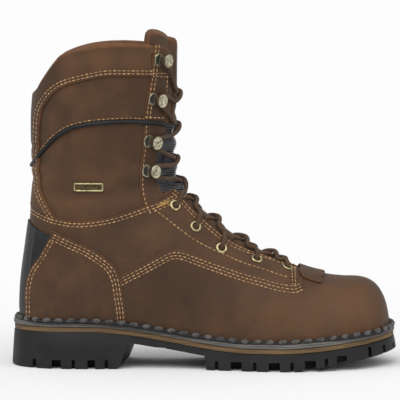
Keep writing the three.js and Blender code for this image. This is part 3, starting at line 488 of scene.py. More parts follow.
def finish_mesh(name, verts, faces, materials, face_slots=None, values=None, sharp=38.0):
    """A piece at the origin, in metres, with smooth faces and sharp turns."""
    mesh = bpy.data.meshes.new(name)
    points = (np.asarray(verts) + SHIFT) * 0.001
    mesh.from_pydata(points.tolist(), [], faces)
    mesh.validate()
    for material in materials:
        mesh.materials.append(material)
    if face_slots is not None and len(face_slots) == len(mesh.polygons):
        mesh.polygons.foreach_set("material_index", face_slots)
    for key, data in (values or {}).items():
        layer = mesh.attributes.new(key, "FLOAT", "POINT")
        layer.data.foreach_set("value", np.asarray(data, np.float32))
    mesh.shade_smooth()
    if sharp:
        mesh.set_sharp_from_angle(angle=math.radians(sharp))
    mesh.update()
    obj = bpy.data.objects.new(name, mesh)
    bpy.context.scene.collection.objects.link(obj)
    return obj


def finish_piece(obj, slot_name=None, nodes=()):
    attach(obj, "root")
    if nodes:
        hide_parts(*nodes)
    return obj


def sheet_of(station, angle, top, bottom):
    """A sheet of leather on the last: its outer and inner points and how creased it is."""
    station, angle = np.broadcast_arrays(np.asarray(station, float), np.asarray(angle, float))
    folds = relief(base_point(station, angle))
    return skin(station, angle, top), skin(station, angle, bottom), folds


def leather_piece(name, sheets, materials, bulge=0.35, rim_rounds=4, bulge_at=None):
    """A closed piece from sheets of points that join where their points meet. The first material is
    on the outside, the second on the inside, and the rim has the third or else the first."""
    outs, ins, folds, quads, start = [], [], [], [], 0
    for out, inn, fold in sheets:
        rows, cols = out.shape[:2]
        ids = start + np.arange(rows * cols).reshape(rows, cols)
        a, b, c, d = ids[:-1, :-1], ids[:-1, 1:], ids[1:, 1:], ids[1:, :-1]
        block = np.stack([a, b, c, d], -1).reshape(-1, 4)
        i, j = rows // 2, cols // 2
        i, j = min(i, rows - 2), min(j, cols - 2)
        normal = np.cross(out[i, j + 1] - out[i, j], out[i + 1, j] - out[i, j])
        if np.dot(normal, out[i, j] - inn[i, j]) < 0:
            block = block[:, ::-1]
        quads.append(block)
        outs.append(out.reshape(-1, 3))
        ins.append(inn.reshape(-1, 3))
        folds.append(fold.reshape(-1))
        start += rows * cols
    out, inn, fold = np.vstack(outs), np.vstack(ins), np.concatenate(folds)
    _, first, back = np.unique(np.round(out, 3), axis=0, return_index=True, return_inverse=True)
    back = back.reshape(-1)
    out, inn, fold = out[first], inn[first], fold[first]
    faces = []
    for quad in back[np.vstack(quads)].tolist():
        face = [v for k, v in enumerate(quad) if v != quad[k - 1]]
        if len(set(face)) == len(face) >= 3:
            faces.append(face)
    edges = {(f[k - 1], f[k]) for f in faces for k in range(len(f))}
    rim = [(a, b) for a, b in edges if (b, a) not in edges]
    rim.sort()
    normal = unit(out - inn)
    away = {}
    for a, b in rim:
        side = np.cross(out[b] - out[a], normal[a] + normal[b])
        side = side / max(1e-9, np.linalg.norm(side))
        away[a] = away.get(a, 0) + side
        away[b] = away.get(b, 0) + side
    count = len(out)
    verts = [out, inn]
    ring_of = {}
    extra = []
    for v, side in away.items():
        side = side / max(1e-9, np.linalg.norm(side))
        push = bulge if bulge_at is None else bulge_at(out[v])
        middle, half = (out[v] + inn[v]) / 2, (out[v] - inn[v]) / 2
        ids = [v]
        for k in range(1, rim_rounds):
            turn = math.pi * k / rim_rounds
            ids.append(2 * count + len(extra))
            extra.append(middle + half * math.cos(turn) + side * push * math.sin(turn))
        ids.append(count + v)
        ring_of[v] = ids
    slots = [0] * len(faces) + [1] * len(faces)
    faces = faces + [[count + v for v in reversed(f)] for f in faces]
    for a, b in rim:
        ra, rb = ring_of[a], ring_of[b]
        for k in range(rim_rounds):
            faces.append([rb[k], ra[k], ra[k + 1], rb[k + 1]])
            slots.append(2)
    used = {0: 0, 1: min(1, len(materials) - 1), 2: 2 if len(materials) > 2 else 0}
    slots = [used[s] for s in slots]
    edge_value = np.zeros(2 * count + len(extra))
    edge_value[list(away)] = 0.55
    edge_value[2 * count:] = 1.0
    fold_value = np.concatenate([fold, fold, np.zeros(len(extra))])
    if extra:
        verts.append(np.array(extra))
    verts = np.vstack(verts)
    # The tone attribute carries the leather's own uneven tone together with painted highlights and painted
    # shade.
    return finish_mesh(name, verts, faces, materials, slots,
                       {"edge": edge_value, "fold": fold_value, "tone_and_painted_light": tone_and_light_at(verts)})


def spread(count):
    """Shares from 0 to 1 that crowd a little at both ends."""
    t = np.linspace(0, 1, count)
    return mix(t, smooth(t), 0.35)


def tube_parts(paths, radius, sides):
    """Round bars along paths of points, closed at both ends."""
    verts, faces = [], []
    for path in paths:
        path = np.asarray(path, float)
        way = unit(np.gradient(path, axis=0))
        frame_up = np.array([0.0, 0.0, 1.0])
        if abs(way[0] @ frame_up) > 0.9:
            frame_up = np.array([0.0, 1.0, 0.0])
        start = len(verts)
        rows = len(path)
        for k in range(rows):
            frame_up = frame_up - way[k] * (frame_up @ way[k])
            frame_up = frame_up / np.linalg.norm(frame_up)
            right = np.cross(way[k], frame_up)
            for i in range(sides):
                turn = 2 * math.pi * i / sides
                verts.append(path[k] + radius * (frame_up * math.cos(turn) + right * math.sin(turn)))
        for k in range(rows - 1):
            for i in range(sides):
                a = start + k * sides + i
                b = start + k * sides + (i + 1) % sides
                faces.append([a, a + sides, b + sides, b])
        faces.append([start + i for i in range(sides)])
        end = start + (rows - 1) * sides
        faces.append([end + i for i in reversed(range(sides))])
    return np.array(verts), faces


def ring_piece(name, loops, materials, sharp=38.0):
    """A body round the sole: loops of points of one length, joined in turn and back to the first."""
    count = len(loops[0])
    faces = []
    for k in range(len(loops)):
        a, b = k * count, ((k + 1) % len(loops)) * count
        for i in range(count):
            n = (i + 1) % count
            faces.append([a + i, a + n, b + n, b + i])
    obj = finish_mesh(name, np.vstack(loops), faces, materials, sharp=sharp)
    turn_out(obj)
    return obj


def turn_out(obj, one_body=True):
    """Turns a piece's faces outwards; a piece of one closed body is tested by its volume too."""
    work = bmesh.new()
    work.from_mesh(obj.data)
    bmesh.ops.recalc_face_normals(work, faces=work.faces)
    if one_body and work.calc_volume(signed=True) < 0:
        bmesh.ops.reverse_faces(work, faces=work.faces)
    work.to_mesh(obj.data)
    work.free()


# Materials

def new_material(name):
    material = bpy.data.materials.new(name)
    material.use_nodes = True
    tree = material.node_tree
    shader = tree.nodes["Principled BSDF"]
    return material, tree, shader


def node(tree, kind, **values):
    made = tree.nodes.new(kind)
    for key, value in values.items():
        if key in made.inputs:
            made.inputs[key].default_value = value
        else:
            setattr(made, key, value)
    return made


def coordinates(tree, scale=(1, 1, 1)):
    at = node(tree, "ShaderNodeTexCoord")
    if scale == (1, 1, 1):
        return at.outputs["Object"]
    mapping = node(tree, "ShaderNodeMapping")
    mapping.inputs["Scale"].default_value = scale
    tree.links.new(at.outputs["Object"], mapping.inputs["Vector"])
    return mapping.outputs["Vector"]


def noise(tree, vector, scale, detail=3.0, roughness=0.55, distortion=0.0):
    made = node(tree, "ShaderNodeTexNoise", Scale=scale, Detail=detail, Roughness=roughness,
                Distortion=distortion)
    tree.links.new(vector, made.inputs["Vector"])
    return made.outputs["Fac"]


def ramp(tree, value, stops):
    made = node(tree, "ShaderNodeValToRGB")
    elements = made.color_ramp.elements
    while len(elements) < len(stops):
        elements.new(0.5)
    for element, (place, colour) in zip(elements, stops):
        element.position = place
        element.color = (*colour, 1) if len(colour) == 3 else colour
    tree.links.new(value, made.inputs["Fac"])
    return made.outputs["Color"]


def to_range(tree, value, low, high, to_low, to_high):
    made = node(tree, "ShaderNodeMapRange")
    for key, number in (("From Min", low), ("From Max", high), ("To Min", to_low), ("To Max", to_high)):
        made.inputs[key].default_value = number
    tree.links.new(value, made.inputs["Value"])
    return made.outputs["Result"]


def blend_colours(tree, share, a, b, way="MIX"):
    made = node(tree, "ShaderNodeMix", data_type="RGBA", blend_type=way)
    for value, key in ((share, 0), (a, 6), (b, 7)):
        if isinstance(value, (float, int)):
            made.inputs[key].default_value = value
        elif isinstance(value, tuple):
            made.inputs[key].default_value = (*value, 1)
        else:
            tree.links.new(value, made.inputs[key])
    return made.outputs[2]


def sums(tree, way, a, b):
    made = node(tree, "ShaderNodeMath", operation=way)
    for value, key in ((a, 0), (b, 1)):
        if isinstance(value, (float, int)):
            made.inputs[key].default_value = value
        else:
            tree.links.new(value, made.inputs[key])
    return made.outputs[0]


def bump(tree, shader, height, distance, strength=1.0, before=None):
    made = node(tree, "ShaderNodeBump")
    made.inputs["Distance"].default_value = distance
    made.inputs["Strength"].default_value = strength
    tree.links.new(height, made.inputs["Height"])
    if before is not None:
        tree.links.new(before, made.inputs["Normal"])
    tree.links.new(made.outputs["Normal"], shader.inputs["Normal"])
    return made.outputs["Normal"]


def linear(colour):
    return tuple(c / 12.92 if c <= 0.04045 else ((c + 0.055) / 1.055) ** 2.4 for c in colour)


def hexed(text):
    return linear(tuple(int(text[i:i + 2], 16) / 255 for i in (0, 2, 4)))


def leather_material(name, dark, middle, light, edge, rough=0.66):
    """Oiled nubuck: cloudy pull-up colour, painted shade in the troughs of its folds and a painted highlight
    on their ridges, painted highlights and painted shade in the tone spots beside its own uneven tone, rubbed
    at its edges, fine grain.
    """
    # A paler colour for the lighter tone spots, which are partly painted highlights.
    pale = tuple(c * 1.3 for c in light)
    material, tree, shader = new_material(name)
    at = coordinates(tree)
    clouds = noise(tree, at, 17.0, 4.0, 0.6, 0.5)
    patches = noise(tree, at, 55.0, 5.0, 0.65, 0.2)
    both = sums(tree, "MULTIPLY_ADD", clouds, 0.62)
    tree.links.new(sums(tree, "MULTIPLY", patches, 0.38), both.node.inputs[2])
    colour = ramp(tree, both, [(0.36, dark), (0.5, middle), (0.64, light)])
    scuffs = noise(tree, coordinates(tree, (1, 1, 2.6)), 95.0, 6.0, 0.7, 0.4)
    scuffs = to_range(tree, scuffs, 0.56, 0.74, 0.0, 0.35)
    colour = blend_colours(tree, scuffs, colour, light)
    fold = node(tree, "ShaderNodeAttribute", attribute_name="fold").outputs["Fac"]
    tone_and_painted_light = node(tree, "ShaderNodeAttribute", attribute_name="tone_and_painted_light").outputs["Fac"]
    # The tone spots lighten and darken the colour: the leather's own uneven tone, and painted highlights and
    # painted shade.
    colour = blend_colours(tree, to_range(tree, tone_and_painted_light, 0.0, 1.0, 0.0, 0.85), colour, pale)
    colour = blend_colours(tree, to_range(tree, tone_and_painted_light, 0.0, -0.5, 0.0, 0.6), colour, dark)
    # Painted shade darkens the troughs of the creases, and a painted highlight lightens their ridges.
    painted_fold_shade = to_range(tree, fold, 0.0, -1.0, 0.0, 0.55)
    raised = to_range(tree, fold, 0.15, 0.9, 0.0, 0.35)
    colour = blend_colours(tree, painted_fold_shade, colour, dark)
    colour = blend_colours(tree, raised, colour, light)
    rim = node(tree, "ShaderNodeAttribute", attribute_name="edge").outputs["Fac"]
    wear = noise(tree, at, 140.0, 3.0, 0.6)
    rim = sums(tree, "MULTIPLY", to_range(tree, rim, 0.15, 1.0, 0.0, 1.0),
               to_range(tree, wear, 0.35, 0.6, 0.35, 0.95))
    colour = blend_colours(tree, rim, colour, edge)
    tree.links.new(colour, shader.inputs["Base Color"])
    gloss = to_range(tree, patches, 0.35, 0.7, rough - 0.08, rough + 0.12)
    tree.links.new(gloss, shader.inputs["Roughness"])
    fine = noise(tree, at, 1500.0, 4.0, 0.7)
    cells = node(tree, "ShaderNodeTexVoronoi", feature="DISTANCE_TO_EDGE", Scale=900.0)
    tree.links.new(at, cells.inputs["Vector"])
    pores = sums(tree, "MINIMUM", cells.outputs["Distance"], 0.25)
    grained = sums(tree, "MULTIPLY_ADD", pores, 1.6)
    tree.links.new(sums(tree, "MULTIPLY", fine, 0.7), grained.node.inputs[2])
    first = bump(tree, shader, grained, 0.00018, 0.6)
    bump(tree, shader, patches, 0.0012, 0.35, before=first)
    shader.inputs["Sheen Weight"].default_value = 0.04
    shader.inputs["Sheen Roughness"].default_value = 0.5
    shader.inputs["Specular IOR Level"].default_value = 0.24
    return material


def rubber_material(name, dark, light, rough=0.55):
    material, tree, shader = new_material(name)
    at = coordinates(tree)
    clouds = noise(tree, at, 60.0, 5.0, 0.6)
    tree.links.new(ramp(tree, clouds, [(0.35, dark), (0.7, light)]), shader.inputs["Base Color"])
    gloss = to_range(tree, clouds, 0.3, 0.7, rough - 0.08, rough + 0.1)
    tree.links.new(gloss, shader.inputs["Roughness"])
    bump(tree, shader, noise(tree, at, 420.0, 4.0, 0.65), 0.0002, 0.5)
    shader.inputs["Specular IOR Level"].default_value = 0.28
    return material


def layered_material(name, dark, light):
    """The stacked layers of the midsole and welt, with level lines along the edge."""
    material, tree, shader = new_material(name)
    at = coordinates(tree, (0.25, 0.25, 5))
    lines = noise(tree, at, 160.0, 3.0, 0.5)
    tree.links.new(ramp(tree, lines, [(0.34, dark), (0.66, light)]), shader.inputs["Base Color"])
    shader.inputs["Roughness"].default_value = 0.68
    bump(tree, shader, lines, 0.0003, 0.5)
    return material


def brass_material(name, dark, light):
    material, tree, shader = new_material(name)
    at = coordinates(tree)
    clouds = noise(tree, at, 420.0, 5.0, 0.65)
    tree.links.new(ramp(tree, clouds, [(0.36, dark), (0.62, light)]), shader.inputs["Base Color"])
    tree.links.new(to_range(tree, clouds, 0.35, 0.65, 0.5, 0.28), shader.inputs["Roughness"])
    shader.inputs["Metallic"].default_value = 1.0
    bump(tree, shader, clouds, 0.00015, 0.5)
    return material


def thread_material(name, dark, light):
    material, tree, shader = new_material(name)
    clouds = noise(tree, coordinates(tree), 240.0, 2.0, 0.5)
    tree.links.new(ramp(tree, clouds, [(0.4, dark), (0.6, light)]), shader.inputs["Base Color"])
    shader.inputs["Roughness"].default_value = 0.55
    shader.inputs["Sheen Weight"].default_value = 0.2
    bump(tree, shader, noise(tree, coordinates(tree), 3500.0, 2.0, 0.6), 0.0001, 0.5)
    return material


def cord_material(name, dark, light):
    """A braided lace: two sets of strands that cross, read from the lace's own UV map."""
    material, tree, shader = new_material(name)
    uv = node(tree, "ShaderNodeUVMap", uv_map="braid").outputs["UV"]
    waves = []
    for slant in (1.0, -1.0):
        turn = node(tree, "ShaderNodeMapping")
        turn.inputs["Rotation"].default_value = (0, 0, slant * math.radians(33))
        tree.links.new(uv, turn.inputs["Vector"])
        wave = node(tree, "ShaderNodeTexWave", wave_type="BANDS", bands_direction="X", Scale=0.26)
        tree.links.new(turn.outputs["Vector"], wave.inputs["Vector"])
        waves.append(wave.outputs["Fac"])
    braid = sums(tree, "MAXIMUM", *waves)
    colour = ramp(tree, braid, [(0.25, dark), (0.95, light)])
    shade = noise(tree, coordinates(tree), 90.0, 3.0, 0.6)
    colour = blend_colours(tree, to_range(tree, shade, 0.4, 0.7, 0.0, 0.4), colour, dark)
    tree.links.new(colour, shader.inputs["Base Color"])
    shader.inputs["Roughness"].default_value = 0.8
    shader.inputs["Sheen Weight"].default_value = 0.05
    shader.inputs["Specular IOR Level"].default_value = 0.2
    bump(tree, shader, braid, 0.0005, 0.9)
    return material


def cloth_material(name, dark, light):
    material, tree, shader = new_material(name)
    at = coordinates(tree)
    cells = node(tree, "ShaderNodeTexVoronoi", feature="F1", Scale=700.0)
    tree.links.new(at, cells.inputs["Vector"])
    colour = ramp(tree, cells.outputs["Distance"], [(0.1, dark), (0.6, light)])
    tree.links.new(colour, shader.inputs["Base Color"])
    shader.inputs["Roughness"].default_value = 0.92
    shader.inputs["Sheen Weight"].default_value = 0.25
    bump(tree, shader, cells.outputs["Distance"], 0.0004, 0.6)
    return material


def ribbed_material(name, dark, light):
    """The gusset's shiny fabric, with ribs across it."""
    material, tree, shader = new_material(name)
    at = coordinates(tree)
    wave = node(tree, "ShaderNodeTexWave", wave_type="BANDS", bands_direction="Z", Scale=160.0,
                Distortion=1.5)
    tree.links.new(at, wave.inputs["Vector"])
    colour = ramp(tree, wave.outputs["Fac"], [(0.2, dark), (0.9, light)])
    tree.links.new(colour, shader.inputs["Base Color"])
    shader.inputs["Roughness"].default_value = 0.38
    bump(tree, shader, wave.outputs["Fac"], 0.0004, 0.6)
    return material


FINISH = {}


def make_finishes(sizes):
    brown = tuple(sizes.leather)
    dark, light, edge = (tuple(c * k for c, k in zip(brown, scale))
                         for scale in ((0.66, 0.64, 0.64), (1.5, 1.44, 1.36), (2.4, 2.0, 1.6)))
    FINISH.update(
        leather=leather_material("oiled_brown_leather", dark, brown, light, edge),
        cut=leather_material("cut_leather_edge", dark, tuple(c * 0.8 for c in brown), brown, edge,
                             rough=0.8),
        tongue=leather_material("tongue_leather", dark, brown, light, edge, rough=0.55),
        flesh=leather_material("leather_flesh_side", hexed("4a3120"), hexed("5d3f2a"), hexed("6d4c33"),
                               hexed("7a583c"), rough=0.85),
        lining=cloth_material("shaft_lining", hexed("2b221c"), hexed("5a483a")),
        rubber=rubber_material("black_rubber", hexed("0d0d0e"), tuple(sizes.rubber)),
        moulded=rubber_material("moulded_heel_strip", hexed("101113"), hexed("212325"), rough=0.45),
        piping=rubber_material("black_piping", hexed("0e0f10"), hexed("1c1e20"), rough=0.5),
        welt=layered_material("grey_welt", hexed("4b4946"), hexed("686560")),
        midsole=layered_material("brown_midsole", hexed("4e3a1f"), hexed("6c5230")),
        brass=brass_material("antique_brass", hexed("7d7252"), hexed("c4b88e")),
        brass_dark=brass_material("dark_brass", hexed("3a3325"), hexed("5f543a")),
        nickel=brass_material("antique_nickel", hexed("6f6a57"), hexed("c0baa0")),
        tan=thread_material("tan_thread", hexed("84603a"), tuple(sizes.thread)),
        yellow=thread_material("yellow_thread", hexed("8a6a2c"), hexed("b8923e")),
        black_thread=thread_material("black_cord_stitch", hexed("0b0b0b"), hexed("1c1b1a")),
        storm_thread=thread_material("storm_cord", hexed("1b1918"), hexed("474340")),
        grey_thread=thread_material("sole_thread", hexed("4a4030"), hexed("75654a")),
        lace=cord_material("lace_braid", hexed("2c2017"), tuple(sizes.lace)),
        gusset=ribbed_material("gusset_fabric", hexed("131214"), hexed("39363b")),
        insole=cloth_material("insole_cloth", hexed("2a2725"), hexed("4a4541")),
    )


# Geometry Nodes: one stitch after another along paths

def stitch_tree():
    tree = bpy.data.node_groups.new("stitch_row", "GeometryNodeTree")
    face = tree.interface
    face.new_socket("Geometry", in_out="INPUT", socket_type="NodeSocketGeometry")
    for label, default in (("Pitch", 0.003), ("Length", 0.0022), ("Width", 0.0008), ("Height", 0.0006)):
        made = face.new_socket(label, in_out="INPUT", socket_type="NodeSocketFloat")
        made.default_value = default
        made.subtype = "DISTANCE"
    face.new_socket("Slant", in_out="INPUT", socket_type="NodeSocketFloat").default_value = 0.0
    face.new_socket("Seed", in_out="INPUT", socket_type="NodeSocketInt").default_value = 1
    face.new_socket("Thread", in_out="INPUT", socket_type="NodeSocketMaterial")
    face.new_socket("Geometry", in_out="OUTPUT", socket_type="NodeSocketGeometry")
    add, link = tree.nodes.new, tree.links.new
    source, result = add("NodeGroupInput"), add("NodeGroupOutput")
    curve = add("GeometryNodeMeshToCurve")
    link(source.outputs["Geometry"], curve.inputs["Mesh"])
    even = add("GeometryNodeResampleCurve")
    even.mode = "LENGTH"
    link(curve.outputs[0], even.inputs["Curve"])
    link(source.outputs["Pitch"], even.inputs["Length"])
    ball = add("GeometryNodeMeshUVSphere")
    ball.inputs["Segments"].default_value = 8
    ball.inputs["Rings"].default_value = 5
    ball.inputs["Radius"].default_value = 0.5
    size = add("ShaderNodeCombineXYZ")
    link(source.outputs["Height"], size.inputs["X"])
    link(source.outputs["Width"], size.inputs["Y"])
    link(source.outputs["Length"], size.inputs["Z"])
    shaped = add("GeometryNodeTransform")
    shaped.inputs["Rotation"].default_value = (0, math.pi / 2, 0)
    link(ball.outputs["Mesh"], shaped.inputs["Geometry"])
    link(size.outputs[0], shaped.inputs["Scale"])
    smooth_faces = add("GeometryNodeSetShadeSmooth")
    link(shaped.outputs[0], smooth_faces.inputs["Geometry"])
    tangent = add("GeometryNodeInputTangent")
    outward = add("GeometryNodeInputNamedAttribute")
    outward.data_type = "FLOAT_VECTOR"
    outward.inputs["Name"].default_value = "outward"
    along = add("FunctionNodeAlignRotationToVector")
    along.axis = "X"
    link(tangent.outputs[0], along.inputs["Vector"])
    upright = add("FunctionNodeAlignRotationToVector")
    upright.axis = "Z"
    upright.pivot_axis = "X"
    link(along.outputs[0], upright.inputs["Rotation"])
    link(outward.outputs["Attribute"], upright.inputs["Vector"])
    jitter = add("FunctionNodeRandomValue")
    jitter.data_type = "FLOAT"
    jitter.inputs[2].default_value = -0.07
    jitter.inputs[3].default_value = 0.07
    link(source.outputs["Seed"], jitter.inputs["Seed"])
    tilt = add("ShaderNodeMath")
    tilt.operation = "ADD"
    link(jitter.outputs[1], tilt.inputs[0])
    link(source.outputs["Slant"], tilt.inputs[1])
    turn = add("ShaderNodeCombineXYZ")
    link(tilt.outputs[0], turn.inputs["Z"])
    spin = add("FunctionNodeRotateRotation")
    spin.rotation_space = "LOCAL"
    link(upright.outputs[0], spin.inputs["Rotation"])
    link(turn.outputs[0], spin.inputs["Rotate By"])
    place = add("GeometryNodeInstanceOnPoints")
    link(even.outputs["Curve"], place.inputs["Points"])
    link(smooth_faces.outputs[0], place.inputs["Instance"])
    link(spin.outputs[0], place.inputs["Rotation"])
    real = add("GeometryNodeRealizeInstances")
    link(place.outputs[0], real.inputs[0])
    dressed = add("GeometryNodeSetMaterial")
    link(real.outputs[0], dressed.inputs["Geometry"])
    link(source.outputs["Thread"], dressed.inputs["Material"])
    link(dressed.outputs[0], result.inputs[0])
    return tree


def stitches(name, rows, pitch, size, material, slot_name, seed, slant=0.0):
    """Stitches along rows; a row is its points and the leather's outward direction at each."""
    verts, edges, outward = [], [], []
    for points, normals in rows:
        start = len(verts)
        verts.extend(((np.asarray(points) + SHIFT) * 0.001).tolist())
        outward.extend(np.asarray(normals).tolist())
        edges.extend((start + k, start + k + 1) for k in range(len(points) - 1))
    mesh = bpy.data.meshes.new(name)
    mesh.from_pydata(verts, edges, [])
    layer = mesh.attributes.new("outward", "FLOAT_VECTOR", "POINT")
    layer.data.foreach_set("vector", np.asarray(outward, np.float32).reshape(-1))
    obj = bpy.data.objects.new(name, mesh)
    bpy.context.scene.collection.objects.link(obj)
    tree = bpy.data.node_groups.get("stitch_row") or stitch_tree()
    modifier = obj.modifiers.new("stitches", "NODES")
    modifier.node_group = tree
    values = {"Pitch": pitch, "Length": size[0], "Width": size[1], "Height": size[2], "Slant": slant,
              "Seed": seed, "Thread": material}
    for item in tree.interface.items_tree:
        if item.in_out == "INPUT" and item.name in values:
            modifier[item.identifier] = values[item.name]
    graph = bpy.context.evaluated_depsgraph_get()
    made = bpy.data.meshes.new_from_object(obj.evaluated_get(graph))
    obj.modifiers.clear()
    obj.data = made
    if not made.materials:
        made.materials.append(material)
    for key in [a.name for a in made.attributes if a.name == "outward"]:
        made.attributes.remove(made.attributes[key])
    if len(made.polygons) == 0:
        raise RuntimeError(f"{name} has no stitches")
    return finish_piece(obj, slot_name)


def row_on(station, angle, offset):
    points = skin(station, angle, offset)
    return points, base_normal(station, angle)


def side_row(table, shift, sign, offset, first=0.0, last=1.0):
    """A row of stitches beside a panel line, on one side of the boot."""
    line = side_line(table, 160, shift)
    line = line[int(first * 159):int(last * 159) + 1]
    station, angle = over_side(line[:, 0], line[:, 1])
    return row_on(station, sign * angle, offset)


def foot_row(table, shift, sign, offset):
    line = to_foot(side_line(table, 260, shift)[12:], 160, sink=-2.5)
    station, angle = over_side(line[:, 0], line[:, 1])
    return row_on(station, sign * angle, offset)


# Pieces of the upper

def inner_offset(station, angle):
    high = smooth((station - 24.5) / 3)
    back = smooth((np.abs(angle) - 1.15) / 0.5)
    return -WALL - COLLAR_PADDING * high * back


COLLAR_EDGE = side_line(COLLAR_LINE, 200)


def collar_height(x):
    return np.interp(x, COLLAR_EDGE[:, 0], COLLAR_EDGE[:, 1])


def collar_station(angle_of, drop=0.0, start=20.0):
    """The station where a column of the shaft reaches the collar's edge."""

    def under(station):
        p = base_point(station, angle_of(station))
        return p[..., 2] < collar_height(p[..., 0]) - drop

    shape = np.shape(angle_of(np.array(start)))
    return halve(under, np.full(shape, start), np.full(shape, float(LAST)))


def shaft_sheets():
    """The whole leather form under the panels, both sides, open at the throat, the foot and the top."""
    columns, rows, bend, top_row = 64, 150, 20.0, 30.0
    shares = np.linspace(0, 1, columns)
    # The rows lie level with the sections up to the ankle, then turn into the collar's line.
    level = np.repeat(mix(0.15, top_row, np.linspace(0, 1, rows))[:, None], columns, axis=1)
    sheets = []
    for side in (-1, 1):
        top = collar_station(lambda s: mix(throat_angle(s, side), math.pi, shares), drop=5.5)
        turned = bend + (level - bend) * (top[None] - bend) / (top_row - bend)
        stations = np.where(level < bend, level, turned)
        opened = np.where(stations < THROAT_START - 0.1, 0.0, throat_angle(stations, side))
        angles = side * mix(opened, foot_angle(stations), shares)
        sheets.append(sheet_of(stations, angles, 0.0, inner_offset(stations, angles)))
    return sheets


def vamp_sheets():
    crossing = angle_on_line(VAMP_TOP_LINE)
    sheets = []
    shares = spread(56)
    vamp_closed = 9.1 + 1e-6
    stations = np.concatenate([np.linspace(0.0, 1.0, 9)[:-1], np.linspace(1.0, 9.1, 84),
                               np.linspace(9.15, 9.75, 18), np.linspace(9.82, 16.2, 74)])
    for side in (-1, 1):
        low = np.where(stations < vamp_closed, 0.0, crossing(stations))
        high = foot_angle(stations, STEP["vamp"], -0.2)
        angles = side * mix(low[:, None], high[:, None], shares[None])
        sheet = sheet_of(stations[:, None], angles, STEP["vamp"], STEP["vamp"] - 2.2)
        sheets.append(sheet)
        # The toe's tip is closed by rows that draw in to one point behind the welt.
        share = np.linspace(0, 1, 6)[:, None, None]
        ends = []
        for grid in sheet[:2]:
            tip = np.array([grid[0, 0, 0] + 0.8, grid[0, 0, 1], grid[0, -1, 2]])
            ends.append(mix(tip, grid[0][None], share))
        sheets.append((*ends, np.zeros((6, len(shares)))))
    return sheets


def quarter_sheets():
    crossing = angle_on_line(QUARTER_TOP_LINE)
    shares = spread(60)
    stations = np.concatenate([np.linspace(9.15, 17.6, 90), np.linspace(17.7, 22.6, 60)])
    sheets = []
    for side in (-1, 1):
        open_edge = throat_angle(stations, side)
        low = np.maximum(open_edge, np.where(stations > 15.5, crossing(stations), 0))
        high = foot_angle(stations, STEP["quarter"], -0.2)
        low = np.minimum(low, high)
        angles = side * mix(low[:, None], high[:, None], shares[None])
        sheets.append(sheet_of(stations[:, None], angles, STEP["quarter"], STEP["quarter"] - 1.9))
    return sheets


def to_foot(line, count, sink=1.0):
    """A line's part above the welt, evenly spread."""
    keep = line[line[:, 1] > welt_top(line[:, 0]) - sink]
    return spline(keep[::4], count)


def counter_sheets(side):
    rear = to_foot(side_line(COUNTER_REAR_LINE, 260) + np.array([GAP, 0]), 70, sink=-1.6)
    front = to_foot(side_line(COUNTER_FRONT_LINE, 260), 70, sink=-1.6)
    place = mix(rear[:, None], front[:, None], spread(44)[None, :, None])
    station, angle = over_side(place[..., 0], place[..., 1])
    return [sheet_of(station, side * angle, STEP["counter"], 0.0)]


def collar_sheets():
    """The collar and the back-stay: one piece a side, between its line and the edge or the back."""
    line = side_line(COLLAR_PANEL_LINE, 130)
    quarter = side_line(QUARTER_TOP_LINE, 130)
    station, angle = over_side(line[:, 0], line[:, 1])
    # The line's first points are ruled up to the collar's edge, the others back to the middle.
    split = 74
    rest = len(line) - split
    target = mix(angle[0], math.pi, np.linspace(0, 1, split))
    edge = collar_station(lambda s: target, drop=4.0)
    foot = back_of(127.0)
    far_station = np.concatenate([edge, np.linspace(edge[-1], foot, rest + 1)[1:]])
    far_angle = np.concatenate([target, np.full(rest, math.pi)])
    share = spread(30)[None]
    stations = mix(station[:, None], far_station[:, None], share)
    angles = mix(angle[:, None], far_angle[:, None], share)
    on_rim = smooth((share - 0.86) / 0.14) * smooth((split + 3 - np.arange(len(line))) / 6)[:, None]
    low = mix(STEP["collar"] - 1.9, inner_offset(stations, angles) - 0.25, on_rim)
    # The foot of the back-stay goes under the quarter's edge.
    at = base_point(stations, angles)
    above = at[..., 2] - np.interp(at[..., 0], quarter[:, 0], quarter[:, 1])
    high = mix(STEP["collar"], 0.55, smooth((1.4 - above) / 1.6))
    low = np.minimum(low, high - 0.4)
    return [sheet_of(stations, side * angles, high, low) for side in (-1, 1)]


def back_of(z):
    """The station whose back point lies at a height."""
    return float(halve(lambda s: section_at(s)[..., 3] < z, np.array(16.0), np.array(float(LAST))))


def facing_sheets(side):
    crossing = angle_on_line(FACING_LINE)
    shares = spread(22)
    rows = np.linspace(0, 1, 90)
    start = 17.0

    def angle_of(station):
        return mix(throat_angle(station, side), crossing(station), shares)

    top = collar_station(angle_of, drop=2.0)
    stations = start + rows[:, None] * (top[None] - start)
    angles = np.array([angle_of(row) for row in stations])
    low = np.full(stations.shape, STEP["facing"] - 1.7)
    low = mix(low, -WALL - 0.2, smooth((rows[:, None] - 0.95) / 0.05))
    return [sheet_of(stations, side * angles, STEP["facing"], low)]


def make_upper(sizes):
    leather, lining = FINISH["leather"], FINISH["lining"]
    cut = [leather, FINISH["flesh"], FINISH["cut"]]
    pieces = [
        leather_piece("shaft", shaft_sheets(), [leather, lining, leather],
                      bulge_at=lambda p: 2.4 if p[2] > 215 else 0.5),
        leather_piece("vamp", vamp_sheets(), cut, bulge=0.4),
        leather_piece("quarters", quarter_sheets(), cut),
    ]
    for side, label in SIDES:
        pieces.append(leather_piece(f"counter_{label}", counter_sheets(side), cut))
        pieces.append(leather_piece(f"facing_{label}", facing_sheets(side), cut,
                                    bulge_at=lambda p: 1.0 if p[2] > 240 else 0.35))
    pieces.append(leather_piece("collar_and_backstay", collar_sheets(), [leather, lining, leather],
                                rim_rounds=6,
                                bulge_at=lambda p: 3.2 if p[2] > collar_height(p[0]) - 8 else 0.35))
    for piece in pieces:
        finish_piece(piece, "brown_leather", ["upper"])


# The tongue, its gusset and the kiltie

